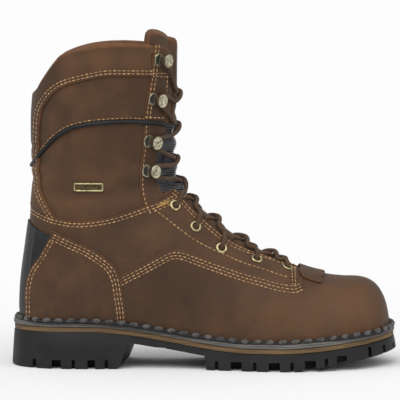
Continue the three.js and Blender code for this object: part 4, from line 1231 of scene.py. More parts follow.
def make_tongue(sizes):
    start, level, end = 8.9, 18.0, LAST - 0.2
    count, across = 130, 41
    share = np.linspace(-1, 1, across)
    edge = side_line(TONGUE_TOP_LINE, 200)
    rows = np.linspace(start, end, count)

    def half_open(stations):
        return np.minimum(throat_half(stations), THROAT_HALF)

    def away_at(stations):
        """How far each column lies from the ridge: evenly in the throat, then out to the wings."""
        half = half_open(stations)
        wing = np.abs(base_point(stations, 0.9)[..., 1] - section_at(stations)[..., 6])
        wide = np.minimum(wing, mix(half + 6, 37.0, smooth((stations - start) / 9)))
        away = mix(share * half * 1.6, np.sign(share) * wide, smooth((np.abs(share) - 0.55) / 0.45))
        return np.where(away == 0, 1e-4, away)

    def under(stations):
        p = base_point(stations, angle_at(stations, away_at(stations)))
        back = 4.0 * smooth((np.abs(share) - 0.2) / 0.3) * smooth((1.02 - np.abs(share)) / 0.3)
        return p[..., 2] < np.interp(p[..., 0] - back, edge[:, 0], edge[:, 1]) - 3.0

    top = halve(under, np.full(across, 20.0), np.full(across, float(LAST)))
    turned = level + (rows[:, None] - level) * (top[None] - level) / (end - level)
    stations = np.where(rows[:, None] < level, rows[:, None], turned)
    away = away_at(stations)
    angles = angle_at(stations, away)
    opening = smooth((stations - THROAT_START - 0.35) / 0.8)
    bulge = opening * smooth((half_open(stations) - 0.9 - np.abs(away)) / 4.5)
    padded = smooth((stations - 21.0) / 2.0)
    rise = bulge * (WALL + 2.0 + 0.9 * padded)
    flex = smooth((stations - 15.2) / 1.2) * (1 - smooth((stations - 21.4) / 0.8))
    folds = 1.5 * flex * np.sin(stations * 3.9 + 0.6) * smooth((26 - np.abs(away)) / 12)
    outer = -WALL - 1.1 + rise + folds
    thick = mix(3.2, 6.0, smooth((stations - 23) / 3))
    sheet = sheet_of(stations, angles, outer, outer - thick)
    first, last = int(np.argmax(rows > 15.4)), int(np.argmax(rows > 21.6))
    for label, low, high, finish in (("foot", 0, first + 1, "tongue"),
                                     ("gusset", first, last + 1, "gusset"), ("top", last, count, "tongue")):
        materials = [FINISH[finish], FINISH["lining"], FINISH[finish]]
        piece = leather_piece(f"tongue_{label}", [tuple(grid[low:high] for grid in sheet)], materials,
                              bulge_at=lambda p: 3.0 if p[2] > 240 else 0.2, rim_rounds=6)
        finish_piece(piece, "tongue_leather", ["tongue"])


# The kiltie: places across as shares of the ball's width, with its rear and front edges
KILTIE_REAR = ((0.0, 0.747), (0.1, 0.745), (0.17, 0.742), (0.235, 0.752))
KILTIE_FRONT = ((0.0, 0.81), (0.05, 0.8095), (0.062, 0.793), (0.075, 0.8065), (0.11, 0.806),
                (0.15, 0.804), (0.162, 0.789), (0.178, 0.801), (0.2, 0.799), (0.235, 0.797))


def make_kiltie(sizes):
    columns, rows, reach, thick = 49, 26, KILTIE_REAR[-1][0], 1.5
    across = np.linspace(-reach, reach, columns)
    rear, front = (np.interp(np.abs(across), *zip(*table)) * SOLE_LENGTH
                   for table in (KILTIE_REAR, KILTIE_FRONT))
    x = mix(rear[None], front[None], np.linspace(0, 1, rows)[:, None])
    y = np.broadcast_to(across[None] * BALL_WIDTH + section_at(9.0)[6], x.shape)
    station = np.full(x.shape, 9.0)
    # A few steps bring each point's station to its place along the foot.
    for _ in range(12):
        away = y - section_at(station)[..., 6]
        angle = angle_at(station, np.where(np.abs(away) < 1e-3, 1e-3, away))
        station = np.clip(station - (x - base_point(station, angle)[..., 0]) / 15.0, 5.0, 12.0)
    under = STEP["vamp"] + GAP + 0.5 * smooth((x - 245) / 15)
    sheet = sheet_of(station, angle, under + thick, under)
    kiltie = leather_piece("kiltie_flap", [sheet], [FINISH["leather"], FINISH["flesh"], FINISH["cut"]],
                           bulge=0.3)
    finish_piece(kiltie, "brown_leather", ["kiltie"])


# Trim: heel strip, piping and badge

def make_heel_strip():
    rear = side_line(COUNTER_REAR_LINE, 60)
    rear = rear[rear[:, 1] > 34]
    station, angle = over_side(rear[:, 0], rear[:, 1])
    low, high = rear[-1, 1], float(height_of(0.77))
    backs = np.interp(rear[:, 1], [low, rear[0, 1]], [low, high])
    columns = 61
    across = np.linspace(-1, 1, columns)
    share = 1 - np.abs(across)
    # Each row runs from the counter's edge to the back's middle line and on to the other edge.
    bent = np.sin(share * math.pi / 2)
    stations = np.array([mix(s, back_of(z), bent) for s, z in zip(station, backs)])
    angles = np.where(across < 0, -1, 1) * mix(angle[:, None], math.pi, share[None])
    foot = skin(stations, angles, STEP["strip"])
    keep = foot[..., 2] > welt_top(np.clip(foot[..., 0], 0, SOLE_LENGTH)) + 1.0
    rows = int(np.argmin(keep.all(axis=1))) or len(stations)
    stations, angles = stations[:rows], angles[:rows]
    # Two raised bands run up the strip beside its plain middle.
    band = 0.8 * np.exp(-(((math.pi - np.abs(angles) - 0.62) / 0.05) ** 2))
    sheet = sheet_of(stations, angles, STEP["strip"] + band, 0.3)
    middle = columns // 2
    halves = [tuple(grid[:, pick] for grid in sheet)
              for pick in (slice(0, middle + 1), slice(middle, None))]
    strip = leather_piece("heel_strip_moulding", halves, [FINISH["moulded"]], bulge=0.5)
    finish_piece(strip, "moulded_black", ["heel_strip"])


def make_piping():
    line = spline([(a * SOLE_LENGTH, float(height_of(r))) for a, r in PIPING_LINE + PIPING_END], 60)
    station, angle = over_side(line[:, 0], line[:, 1])
    # It climbs over the facing's edge and sinks behind the throat.
    over = 1.2 + smooth((line[:, 0] - 106) / 6) - 2.2 * smooth((line[:, 0] - 125) / 4)
    outer, inner = skin(station, -angle, over), skin(station, angle, over)
    back = skin(np.array([back_of(line[0, 1] - 5)]), np.array([math.pi]), 2.6)
    path = spline(np.vstack([outer[::-3], back, inner[::3]]), 240)
    verts, faces = tube_parts([path], PIPING_RADIUS, 12)
    piping = finish_mesh("piping_cord", verts, faces, [FINISH["piping"]], sharp=60)
    turn_out(piping)
    finish_piece(piping, "black_piping", ["piping"])


def make_badge():
    """A bare plate in a raised frame, set on the shaft's outer side."""
    centre = np.array([0.2033 * SOLE_LENGTH, float(height_of(0.963))])
    half = np.array([24.5, 7.6]) / 2
    (x0, z0), (x1, z1) = centre - half + 0.4, centre + half - 0.4
    x, z = np.meshgrid(np.linspace(x0, x1, 9), np.linspace(z0, z1, 5), indexing="ij")
    station, angle = over_side(x, z)
    badge = leather_piece("badge", [sheet_of(station, -angle, 0.95, 0.05)], [FINISH["brass_dark"]],
                          bulge=0.2)
    finish_piece(badge, "antique_brass", ["badge_plate"])
    corners = [centre + (half - 0.9) * way for way in ((-1, -1), (1, -1), (1, 1), (-1, 1))]
    bars = []
    for a, b in zip(corners, corners[1:] + corners[:1]):
        line = np.linspace(a, b, 12)
        station, angle = over_side(line[:, 0], line[:, 1])
        bars.append(skin(station, -angle, 1.0))
    rim = finish_mesh("badge_frame", *tube_parts(bars, 0.8, 10), [FINISH["brass"]], sharp=60)
    turn_out(rim, one_body=False)
    finish_piece(rim, "antique_brass", ["badge_plate"])


def make_trim(sizes):
    make_heel_strip()
    make_piping()
    make_badge()


# Hardware and laces

def lacing_frame(station, side, inset, offset):
    """A place on the leather beside the throat, with its inward, upward and outward directions."""
    def point(at, lift):
        return skin(at, angle_at(at, side * (throat_line(at) + inset)), lift)

    at = np.array(float(station))
    place = point(at, offset)
    out = base_normal(at, angle_at(at, side * (throat_line(at) + inset)))
    up = (point(at + 0.1, offset) - place) * -side
    up = unit(up - out * (up @ out))
    inward = unit(np.cross(up, out))
    return place, inward, up, out


def placed(local, lacing):
    """Points given inward, upward and outward of a place, as points of the boot."""
    place, inward, up, out = lacing
    local = np.asarray(local, float)
    return place + local[:, :1] * inward + local[:, 1:2] * up + local[:, 2:3] * out


def lathe(profile, sides):
    """A ring turned from a closed profile of (radius, height)."""
    verts, faces = [], []
    n = len(profile)
    for i in range(sides):
        turn = 2 * math.pi * i / sides
        verts.extend((r * math.cos(turn), r * math.sin(turn), h) for r, h in profile)
    for i in range(sides):
        j = (i + 1) % sides
        for k in range(n):
            m = (k + 1) % n
            faces.append([i * n + k, j * n + k, j * n + m, i * n + m])
    return np.array(verts), faces


def turned_plate(profile, middle, radii, sides):
    """A round or oval plate whose profile (share of its radius, height) runs from middle to middle."""
    radius_x, radius_y = radii
    verts, faces = [(middle, 0.0, profile[0][1])], []
    for share, h in profile[1:-1]:
        for i in range(sides):
            turn = 2 * math.pi * i / sides
            x, y = radius_x * math.cos(turn), radius_y * math.sin(turn)
            verts.append((middle + share * x, share * y, h))
    verts.append((middle, 0.0, profile[-1][1]))
    last = len(profile) - 3
    for i in range(sides):
        j = (i + 1) % sides
        faces.append([0, 1 + j, 1 + i])
        for k in range(last):
            a, b = 1 + k * sides, 1 + (k + 1) * sides
            faces.append([a + i, a + j, b + j, b + i])
        end = 1 + last * sides
        faces.append([end + i, end + j, len(verts) - 1])
    return np.array(verts), faces


def gather(parts):
    verts, faces, start = [], [], 0
    for v, f in parts:
        verts.append(v)
        faces.extend([[start + k for k in face] for face in f])
        start += len(v)
    return np.vstack(verts), faces


# Profiles of the hardware: radius (or share of it) and height above the leather
EYELET_PROFILE = [(2.6, -3.0), (3.2, -3.0), (3.3, 0.25), (4.4, 0.3), (4.75, 0.62), (4.3, 1.12), (3.5, 1.3),
                  (2.8, 1.0), (2.6, 0.5)]
HOOK_RING_PROFILE = [(3.4, 0.15), (4.9, 0.15), (4.9, 0.8), (4.5, 1.25), (3.9, 1.25), (3.4, 0.9)]
HOOK_SEAT_PROFILE = [(0.0, 0.15), (0.9, 0.15), (1.0, 0.4), (1.0, 0.2), (0.82, 0.55), (0.55, 0.43),
                     (0.5, 0.67), (0.0, 0.65)]
# The head has a raised rim and a ring pressed into its face.
HOOK_HEAD_PROFILE = [(0.0, 6.1), (0.92, 6.1), (1.0, 6.4), (1.0, 7.1), (0.93, 7.4), (0.82, 7.35),
                     (0.74, 7.05), (0.6, 7.05), (0.5, 7.3), (0.38, 7.3), (0.3, 7.05), (0.0, 7.1)]


def eyelet_frame(index, side):
    return lacing_frame(EYELET_STATIONS[index], side, EYELET_INSET, STEP["quarter"])


def hook_frame(index, side):
    return lacing_frame(HOOK_STATIONS[index], side, HOOK_INSETS[index], STEP["facing"])


def make_hardware(sizes):
    ring, ring_faces = lathe(HOOK_RING_PROFILE, 28)
    seat = turned_plate(HOOK_SEAT_PROFILE, 0.0, (3.3, 4.0), 24)
    head = turned_plate(HOOK_HEAD_PROFILE, 5.5, (4.3, 5.4), 36)
    local, faces = gather([(ring * np.array([0.92, 1.12, 1.0]), ring_faces), strap_part(), head, seat])
    slots = [0] * (len(faces) - len(seat[1])) + [1] * len(seat[1])
    eyelet, eyelet_faces = lathe(EYELET_PROFILE, 32)
    for side, label in SIDES:
        for i in range(len(EYELET_STATIONS)):
            made = finish_mesh(f"eyelet_ring_{label}_{i + 1}", placed(eyelet, eyelet_frame(i, side)),
                               eyelet_faces, [FINISH["brass"]], sharp=70)
            turn_out(made)
            finish_piece(made, "antique_brass", [f"eyelet_{label}_{i + 1}"])
        for i in range(len(HOOK_STATIONS)):
            made = finish_mesh(f"lace_hook_{label}_{i + 1}", placed(local, hook_frame(i, side)), faces,
                               [FINISH["nickel"], FINISH["black_thread"]], slots, sharp=45)
            turn_out(made, one_body=False)
            finish_piece(made, "antique_brass", [f"hook_{label}_{i + 1}"])


def strap_part():
    """The hook's bent strap: out along the leather, up and back under the head."""
    path = spline([(0.0, 0.75), (5.0, 0.75), (8.2, 0.8), (9.6, 1.7), (10.1, 3.4), (9.6, 5.1), (8.2, 6.1),
                   (5.5, 6.4)], 22)
    way = np.gradient(path, axis=0)
    way /= np.linalg.norm(way, axis=1, keepdims=True)
    side = np.stack([-way[:, 1], way[:, 0]], -1)
    verts, faces = [], []
    half_thick = 0.5
    for k, (p, n) in enumerate(zip(path, side)):
        half = mix(3.6, 2.4, smooth(k / 12))
        for y, s in ((-half, 1), (half, 1), (half, -1), (-half, -1)):
            verts.append((p[0] + n[0] * s * half_thick, y, p[1] + n[1] * s * half_thick))
    for k in range(len(path) - 1):
        a, b = 4 * k, 4 * (k + 1)
        for i in range(4):
            j = (i + 1) % 4
            faces.append([a + i, a + j, b + j, b + i])
    end = 4 * (len(path) - 1)
    faces.append([3, 2, 1, 0])
    faces.append([end, end + 1, end + 2, end + 3])
    return np.array(verts), faces


def lace_point(station, away, offset):
    station = np.array(float(station))
    angle = angle_at(station, away if abs(away) > 1e-4 else 1e-4)
    return skin(station, angle, offset)


def lace_path(index, side, radius):
    """One strand, from a pair's own side up to the other side of the next pair."""
    stations = EYELET_STATIONS + HOOK_STATIONS
    eyelets = len(EYELET_STATIONS)
    start, end = stations[index], stations[index + 1]
    near_edge = STEP["quarter"] + radius + 0.3
    if index < eyelets:
        place, inward, _, out = eyelet_frame(index, side)
        points = [place - out * 4.6, place - out * 1.2, place + out * 1.4 + inward * 0.9,
                  lace_point(start + 0.08, side * (throat_half(start) + 3.2), near_edge + 0.7),
                  lace_point(start + 0.2, side * (throat_half(start) - 1.0), near_edge + 0.2)]
    else:
        place, inward, up, out = hook_frame(index - eyelets, side)
        grow = -side * up
        points = [place + inward * 2.6 + out * 3.4 - grow * 0.6,
                  place + inward * 4.6 + out * 3.4 + grow * 3.2,
                  place + inward * 9.5 + out * 3.0 + grow * 4.6]
    # The strands cross over the tongue; the inner side's own strand runs under the other.
    middle, half = mix(start, end, CROSS_SHARES[index]), 0.06 * (end - start)
    lift = CROSS_LIFTS[index]
    dip = lift - (0.0 if side < 0 else 2.9)
    beside = mix(lift, near_edge, 0.6) - 1.2
    points += [lace_point(middle - 2.4 * half, side * 12.0, beside),
               lace_point(middle - half, side * 4.5, dip), lace_point(middle + half, -side * 4.5, dip)]
    if index + 1 < eyelets:
        place, inward, _, out = eyelet_frame(index + 1, -side)
        points += [lace_point(end - 0.3, -side * (throat_half(end) - 5.0), 1.2),
                   lace_point(end - 0.15, -side * (throat_half(end) + 1.5), -WALL - 2.2),
                   place - out * 5.4 + inward * 2.2, place - out * 5.2]
    else:
        place, inward, up, out = hook_frame(index + 1 - eyelets, -side)
        grow = side * up
        points += [lace_point(middle + 2.4 * half, -side * 12.0, beside),
                   place + inward * 9.0 + out * 2.8 - grow * 5.0,
                   place + inward * 4.6 + out * 3.2 - grow * 3.4,
                   place + inward * 2.6 + out * 3.4 + grow * 0.6]
    return np.array([np.asarray(p, float).reshape(3) for p in points])


def lace_piece(name, paths, radius, nodes=()):
    sides = 14
    verts, faces = tube_parts(paths, radius, sides)
    lace = finish_mesh(name, verts, faces, [FINISH["lace"]], sharp=60)
    braid_map(lace, paths, sides, radius)
    turn_out(lace, one_body=False)
    finish_piece(lace, "lace_cord", nodes)


def make_laces(sizes):
    radius = sizes.lace_radius * 1000
    for index in range(len(EYELET_STATIONS + HOOK_STATIONS) - 1):
        paths = [spline(lace_path(index, side, radius), 90, power=0.5) for side in (-1, 1)]
        lace_piece(f"lace_strands_{index + 1}", paths, radius, [f"lace_crossing_{index + 1}"])
    # The first length of lace runs across under the leather between the lowest eyelets.
    ends = []
    for side in (-1, 1):
        place, inward, _, out = eyelet_frame(0, side)
        ends.append([place - out * 1.0, place - out * 4.0, place - out * 5.2 + inward * 2.0])
    low = lace_point(EYELET_STATIONS[0] - 0.02, 0.0, -WALL - 2.6)
    lace_piece("lace_lowest_bar", [spline(np.array([*ends[0], low, *reversed(ends[1])]), 60)], radius)


def braid_map(obj, paths, sides, radius):
    """A UV map in millimetres along the lace and round it."""
    u, v = [], []
    for path in paths:
        run = np.concatenate([[0], np.cumsum(np.linalg.norm(np.diff(path, axis=0), axis=1))])
        for k in range(len(path)):
            for i in range(sides):
                u.append(run[k])
                v.append(i)
    layer = obj.data.uv_layers.new(name="braid")
    around = 2 * math.pi * radius / sides
    for polygon in obj.data.polygons:
        ids = [obj.data.loops[k].vertex_index for k in polygon.loop_indices]
        turns = [v[i] for i in ids]
        wrap = max(turns) - min(turns) > sides / 2
        for loop, i, t in zip(polygon.loop_indices, ids, turns):
            layer.data[loop].uv = (u[i], (t + (sides if wrap and t < sides / 2 else 0)) * around)


# Seams

def make_seams(sizes):
    rows, gold = [], []
    on = {key: value + 0.12 for key, value in STEP.items()}

    def across(path, sign, layer, into):
        station, angle = over_side(path[:, 0], path[:, 1])
        into.append(row_on(station, sign * angle, on[layer]))

    for sign in (-1, 1):
        for shift in (-2.2, -4.6, -7.0):
            rows.append(side_row(VAMP_TOP_LINE, shift, sign, on["vamp"], 0.03, 0.93))
        for shift, first in ((-1.8, 0.06), (-4.2, 0.06), (-6.6, 0.8)):
            rows.append(side_row(QUARTER_TOP_LINE, shift, sign, on["quarter"], first, 0.97))
        for shift in (2.0, 4.4, 6.8):
            rows.append(foot_row(COUNTER_FRONT_LINE, -shift, sign, on["counter"]))
        for shift in (1.8, 4.2):
            rows.append(foot_row(COUNTER_REAR_LINE, shift, sign, on["counter"]))
        for shift in (1.6, 4.0):
            rows.append(side_row(COLLAR_PANEL_LINE, -shift, sign, on["collar"], 0.0, 0.955))
        for shift, first, last in ((1.4, 0.04, 0.46), (3.9, 0.04, 0.46), (1.6, 0.46, 0.98)):
            rows.append(side_row(FACING_LINE, shift, sign, on["facing"], first, last))
        rows.append(side_row(EYESTAY_LINE, 0.0, sign, on["quarter"]))
        rows.append(side_row(PIPING_LINE, 2.6, sign, 0.12, 0.03))
        # Two rows beside the throat's edge, and two down the front end of the quarter
        stations = np.linspace(9.6, 16.5, 104)
        for inset in (2.0, 4.2):
            rows.append(row_on(stations, sign * throat_angle(stations, sign, inset), on["quarter"]))
        for x in (234.0, 231.6):
            across(np.linspace((x, 68.0), (x, 79.0), 24), sign, "vamp", rows)
        # A tack where the quarter meets the throat
        for shift in (0.0, 1.3):
            across(np.linspace((122.0, 134.0 - shift), (130.0, 136.8 - shift), 20), sign, "quarter", gold)
        # The stitched box on the facing: two rows above, one in front, one below
        for ends in ([(118, 242.5), (129, 242)], [(118, 240), (129, 239.4)], [(128.5, 239), (127.5, 208.5)],
                     [(112, 206.5), (125, 205.5)]):
            across(spline(ends, 24), sign, "facing", rows)
    stitches("panel_stitches", rows, sizes.stitch_pitch, (0.003, 0.00095, 0.0008), FINISH["tan"],
             "brown_leather", seed=3)
    stitches("throat_tacks", gold, 0.0013, (0.0022, 0.0009, 0.0008), FINISH["yellow"], "brown_leather",
             seed=5, slant=0.9)


# The sole

def make_sole(sizes):
    finish_piece(sole_body("outsole_rubber", FINISH["rubber"]), "black_rubber", ["outsole"])

    def layer(name, profile, under, finish, slot_name, node_name):
        """A ring round the sole from a profile of (inset, rise above the layer under it)."""
        loops = [level_loop(inset, lambda x, up=up: under(x) + GAP * 0.2 + up) for inset, up in profile]
        finish_piece(ring_piece(name, loops, [FINISH[finish]]), slot_name, [node_name])

    side = HEEL_FLARE
    layer("midsole_layer", [(side + 0.5, 0.0), (side, 0.5), (side - 0.1, 2.0), (side, 3.5), (side + 0.5, 4.0),
                            (20, 4.0), (20, 0.0)], outsole_top, "midsole", "brown_midsole", "midsole")
    side = HEEL_FLARE * 0.6
    layer("welt_strip", [(side + 0.5, 0.0), (side, 0.5), (side + 0.1, 1.5), (side + 0.45, 1.75),
                         (side + 0.1, 2.0), (side, 3.2), (side + 0.6, 3.7), (side + 4.5, 3.75), (22, 3.7),
                         (22, 0.0)], midsole_top, "welt", "grey_welt", "welt")

    lip, _ = foot_line(3.9, 0.9)
    storm = finish_mesh("storm_lip", *tube_parts([lip], 1.7, 10), [FINISH["rubber"]], sharp=60)
    turn_out(storm, one_body=False)
    finish_piece(storm, "grey_welt", ["welt"])
    stitches("storm_stitches", [foot_line(4.9, 2.3)], 0.0102, (0.007, 0.0042, 0.0042),
             FINISH["storm_thread"], "black_rubber", seed=7, slant=0.12)
    rim = level_loop(HEEL_FLARE + 0.9, lambda x: welt_top(x) + 0.55)
    rim = np.vstack([rim, rim[:1]])
    stitches("sole_stitches", [(rim, np.tile([0, 0, 1.0], (len(rim), 1)))], 0.0074,
             (0.0058, 0.0013, 0.0011), FINISH["grey_thread"], "grey_welt", seed=9)
    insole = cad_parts["insole"]
    insole.data.materials.clear()
    insole.data.materials.append(FINISH["insole"])


def foot_line(offset, up):
    """A closed line round the boot where the upper meets the welt, and its outward directions."""
    stations = np.linspace(0.0, 17.9, 150)
    angle = foot_angle(stations, offset, -up)
    outs = [base_normal(stations, side * angle) for side in (-1, 1)]
    points = [base_point(stations, side * angle) + out * offset for side, out in zip((-1, 1), outs)]
    line, out = (np.vstack([outer[::-1], inner, outer[-1:]]) for outer, inner in (points, outs))
    run = np.concatenate([[0], np.cumsum(np.linalg.norm(np.diff(line, axis=0), axis=1))])
    at = np.linspace(0, run[-1], 420)
    line, out = (np.stack([np.interp(at, run, grid[:, k]) for k in range(3)], -1) for grid in (line, out))
    return line, unit(out + np.array([0, 0, 0.8]))


def level_loop(inset, height, count=300):
    loop = outline_loop(inset, count)
    z = height(np.clip(loop[:, 0], 0, SOLE_LENGTH))
    return np.column_stack([loop, z])


def sole_body(name, material):
    """The outsole: a solid body with the arch, the notches and the tread cut out of it."""
    loops = []
    for inset, share in ((0.4, 0.0), (-0.2, 0.03), (0.6, 0.5), (1.6, 0.96), (HEEL_FLARE + 0.4, 1.0)):
        loops.append(level_loop(inset, lambda x, k=share: mix(outsole_floor(x), outsole_top(x), k)))
    count = len(loops[0])
    faces = []
    for k in range(len(loops) - 1):
        a, b = k * count, (k + 1) * count
        faces.extend([[a + i, a + (i + 1) % count, b + (i + 1) % count, b + i] for i in range(count)])
    half = count // 2
    for ring, flip in ((0, True), (len(loops) - 1, False)):
        a = ring * count
        for i in range(half):
            quad = [a + i, a + i + 1, a + (count - i - 1) % count, a + (count - i) % count]
            quad = [v for k, v in enumerate(quad) if v != quad[k - 1]]
            faces.append(quad[::-1] if flip else quad)
    body = finish_mesh(name, np.vstack(loops), faces, [material], sharp=None)
    turn_out(body)
    for k, cutter in enumerate(tread_cutters()):
        turn_out(cutter)
        cut = body.modifiers.new(f"cut_{k}", "BOOLEAN")
        cut.operation = "DIFFERENCE"
        cut.solver = "EXACT"
        cut.object = cutter
        graph = bpy.context.evaluated_depsgraph_get()
        made = bpy.data.meshes.new_from_object(body.evaluated_get(graph))
        body.modifiers.clear()
        body.data = made
        bpy.data.objects.remove(cutter)
    body.data.shade_smooth()
    body.data.set_sharp_from_angle(angle=math.radians(32))
    while len(body.data.materials) > 1:
        body.data.materials.pop()
    body.data.polygons.foreach_set("material_index", [0] * len(body.data.polygons))
    return body


def edge_at(along, side):
    rows = np.array(OUTLINE_ROWS)
    share = np.interp(along, rows[:, 0], rows[:, 1 if side < 0 else 2])
    return side * share * half_width_at(along)


def boxes(name, items):
    """Cutting blocks: centre x, y, z, length, width, height, turn."""
    parts = []
    for cx, cy, cz, lx, ly, lz, turn in items:
        c, s = math.cos(turn), math.sin(turn)
        corners = [(x * lx / 2, y * ly / 2, z * lz / 2) for z in (-1, 1) for y in (-1, 1) for x in (-1, 1)]
        verts = np.array([(cx + c * x - s * y, cy + s * x + c * y, cz + z) for x, y, z in corners])
        parts.append((verts, [[0, 2, 3, 1], [4, 5, 7, 6], [0, 1, 5, 4], [2, 6, 7, 3], [0, 4, 6, 2],
                              [1, 3, 7, 5]]))
    return finish_mesh(name, *gather(parts), [], sharp=None)


# Places of the tread along the sole, as shares of its length
THIN_NOTCH, WIDE_NOTCH = 2.8, 9.0
NOTCHES = [
    (0.062, THIN_NOTCH), (0.119, WIDE_NOTCH * 0.85), (0.163, THIN_NOTCH), (0.209, WIDE_NOTCH * 0.7),
    (0.248, THIN_NOTCH), (0.531, THIN_NOTCH), (0.581, WIDE_NOTCH), (0.628, THIN_NOTCH), (0.678, WIDE_NOTCH),
    (0.723, THIN_NOTCH), (0.77, WIDE_NOTCH), (0.811, THIN_NOTCH), (0.851, WIDE_NOTCH * 0.9),
]
CHANNELS = [0.1, 0.185, 0.556, 0.604, 0.652, 0.7, 0.748, 0.796, 0.844]
HEEL_BREAST = 0.29
ARCH_END = 0.5
DEEP = 20.0


def tread_cutters():
    """What is cut out of the outsole, one after another."""
    items = []
    for along, width in NOTCHES:
        x = along * SOLE_LENGTH
        top = float(outsole_floor(x)) + LUG_DEPTH
        reach = 16.0 if width > THIN_NOTCH else 7.0
        for side in (-1, 1):
            y = edge_at(along, side) + side * (DEEP - reach)
            items.append((x, y, top - DEEP, width, 2 * DEEP, 2 * DEEP, 0.0))
    yield boxes("edge_notches", items)

    top = float(outsole_floor(0.96 * SOLE_LENGTH)) + LUG_DEPTH
    reach = 28 + DEEP
    items = []
    for turn in np.radians((-62, -38, -13, 13, 38, 62)):
        x, y = 0.86 * SOLE_LENGTH + reach * math.cos(turn), 0.03 * BALL_WIDTH + reach * math.sin(turn)
        items.append((x, y, top - DEEP, 2 * DEEP, 3.4, 2 * DEEP, turn))
    yield boxes("toe_notches", items)

    # The arch, from the heel's raked breast to the tread's rear edge
    breast, end, rake = HEEL_BREAST * SOLE_LENGTH, ARCH_END * SOLE_LENGTH, 8.5
    xs = np.linspace(breast + rake, end, 12)
    outline = [(breast, -DEEP), (breast, 0.0)]
    outline += [(x, float(outsole_top(x)) - ARCH_THICKNESS) for x in xs]
    outline += [(end + 1.5, 0.0), (end + 1.5, -DEEP)]
    verts = []
    for y in (-90.0, 90.0):
        for x, z in outline:
            skew = y / HEEL_WIDTH * 8.0 if x < (breast + end) / 2 else 0.0
            verts.append((x + skew, y, z))
    n = len(outline)
    faces = [list(range(n)), list(reversed(range(n, 2 * n)))]
    faces.extend([[i, (i + 1) % n, n + (i + 1) % n, n + i] for i in range(n)])
    yield finish_mesh("arch_space", np.array(verts), faces, [], sharp=None)

    # The channel between the edge lugs and the middle, and the channels across the middle
    outer, inner = (level_loop(inset, lambda x: outsole_floor(x) + LUG_DEPTH, 200) for inset in (19.0, 23.5))
    low_outer, low_inner = outer.copy(), inner.copy()
    low_outer[:, 2] = low_inner[:, 2] = -10
    yield ring_piece("ring_channel", [outer, inner, low_inner, low_outer], [], sharp=None)

    items = []
    for along in CHANNELS:
        x = along * SOLE_LENGTH
        low, high = edge_at(along, -1) + 22.0, edge_at(along, 1) - 22.0
        top = float(outsole_floor(x)) + LUG_DEPTH - 0.02
        items.append((x, (low + high) / 2, top - DEEP, 4.5, high - low, 2 * DEEP, 0.0))
    yield boxes("cross_channels", items)


# The stage

# Lamps: name, direction they come from, strength, how wide they look in degrees
LAMPS = (("key", (-0.45, -0.9, 1.2), 1.9, 55), ("fill", (0.9, -0.8, 0.8), 0.8, 70))
CAMERA_PLACE = (156.3, -2500.0, 335.0)
CAMERA_AIM = (156.3, 0.0, 135.8)
CAMERA_LENS = 271.5


def make_stage(sizes):
    scene = bpy.context.scene
    world = bpy.data.worlds.new("studio")
    world.use_nodes = True
    background = world.node_tree.nodes["Background"]
    background.inputs["Color"].default_value = (1, 1, 1, 1)
    background.inputs["Strength"].default_value = sizes.room_light
    scene.world = world

    reach, z = 60.0, -0.0006
    mesh = bpy.data.meshes.new("floor")
    corners = [(-reach, -reach, z), (reach, -reach, z), (reach, reach, z), (-reach, reach, z)]
    mesh.from_pydata(corners, [], [(0, 1, 2, 3)])
    floor = bpy.data.objects.new("floor", mesh)
    scene.collection.objects.link(floor)
    material, _, shader = new_material("pale_floor")
    shader.inputs["Base Color"].default_value = (0.8, 0.8, 0.8, 1)
    shader.inputs["Roughness"].default_value = 1.0
    shader.inputs["Specular IOR Level"].default_value = 0.0
    mesh.materials.append(material)

    for name, place, strength, width in LAMPS:
        data = bpy.data.lights.new(name, "SUN")
        data.energy = strength
        data.angle = math.radians(width)
        lamp = bpy.data.objects.new(name, data)
        lamp.location = place
        lamp.rotation_euler = (-Vector(place)).to_track_quat("-Z", "Y").to_euler()
        scene.collection.objects.link(lamp)

    data = bpy.data.cameras.new("camera")
    data.sensor_width = 36.0
    data.sensor_fit = "HORIZONTAL"
    data.lens = CAMERA_LENS
    data.clip_end = 50
    camera = bpy.data.objects.new("camera", data)
    eye, aim = ((np.array(place) + SHIFT) * 0.001 for place in (CAMERA_PLACE, CAMERA_AIM))
    camera.location = eye
    camera.rotation_euler = (Vector(aim) - Vector(eye)).to_track_quat("-Z", "Y").to_euler()
    scene.collection.objects.link(camera)
    scene.camera = camera
    scene.view_settings.view_transform = "Standard"


# The add-on

class BootSizes(bpy.types.PropertyGroup):
    leather: bpy.props.FloatVectorProperty(
        name="Leather", description="Colour of the oiled leather, between its dark and rubbed places",
        subtype="COLOR", size=3, default=hexed("432e1d"), min=0.0, max=1.0)
    thread: bpy.props.FloatVectorProperty(
        name="Thread", description="Colour of the light strands of the panels' thread",
        subtype="COLOR", size=3, default=hexed("b98f5e"), min=0.0, max=1.0)
    lace: bpy.props.FloatVectorProperty(
        name="Lace", description="Colour of the light strands of the braided lace",
        subtype="COLOR", size=3, default=hexed("614934"), min=0.0, max=1.0)
    rubber: bpy.props.FloatVectorProperty(
        name="Rubber", description="Colour of the lighter places of the black rubber sole",
        subtype="COLOR", size=3, default=hexed("1b1b1c"), min=0.0, max=1.0)
    stitch_pitch: bpy.props.FloatProperty(
        name="Stitch pitch", description="Distance from one stitch of the panels to the next",
        unit="LENGTH", default=0.0038, min=0.002, max=0.01)
    lace_radius: bpy.props.FloatProperty(
        name="Lace radius", description="Half the thickness of the round lace",
        unit="LENGTH", default=0.00175, min=0.001, max=0.0025)
    room_light: bpy.props.FloatProperty(
        name="Room light", description="Strength of the even white light round the boot",
        subtype="FACTOR", default=0.62, min=0.0, max=2.0)


class BOOT_OT_finishes(bpy.types.Operator):
    """Makes the leather, rubber, metal, thread and cloth materials"""
    bl_idname = "boot.finishes"
    bl_label = "Finishes"

    def execute(self, context):
        make_finishes(context.scene.boot_sizes)
        return {"FINISHED"}


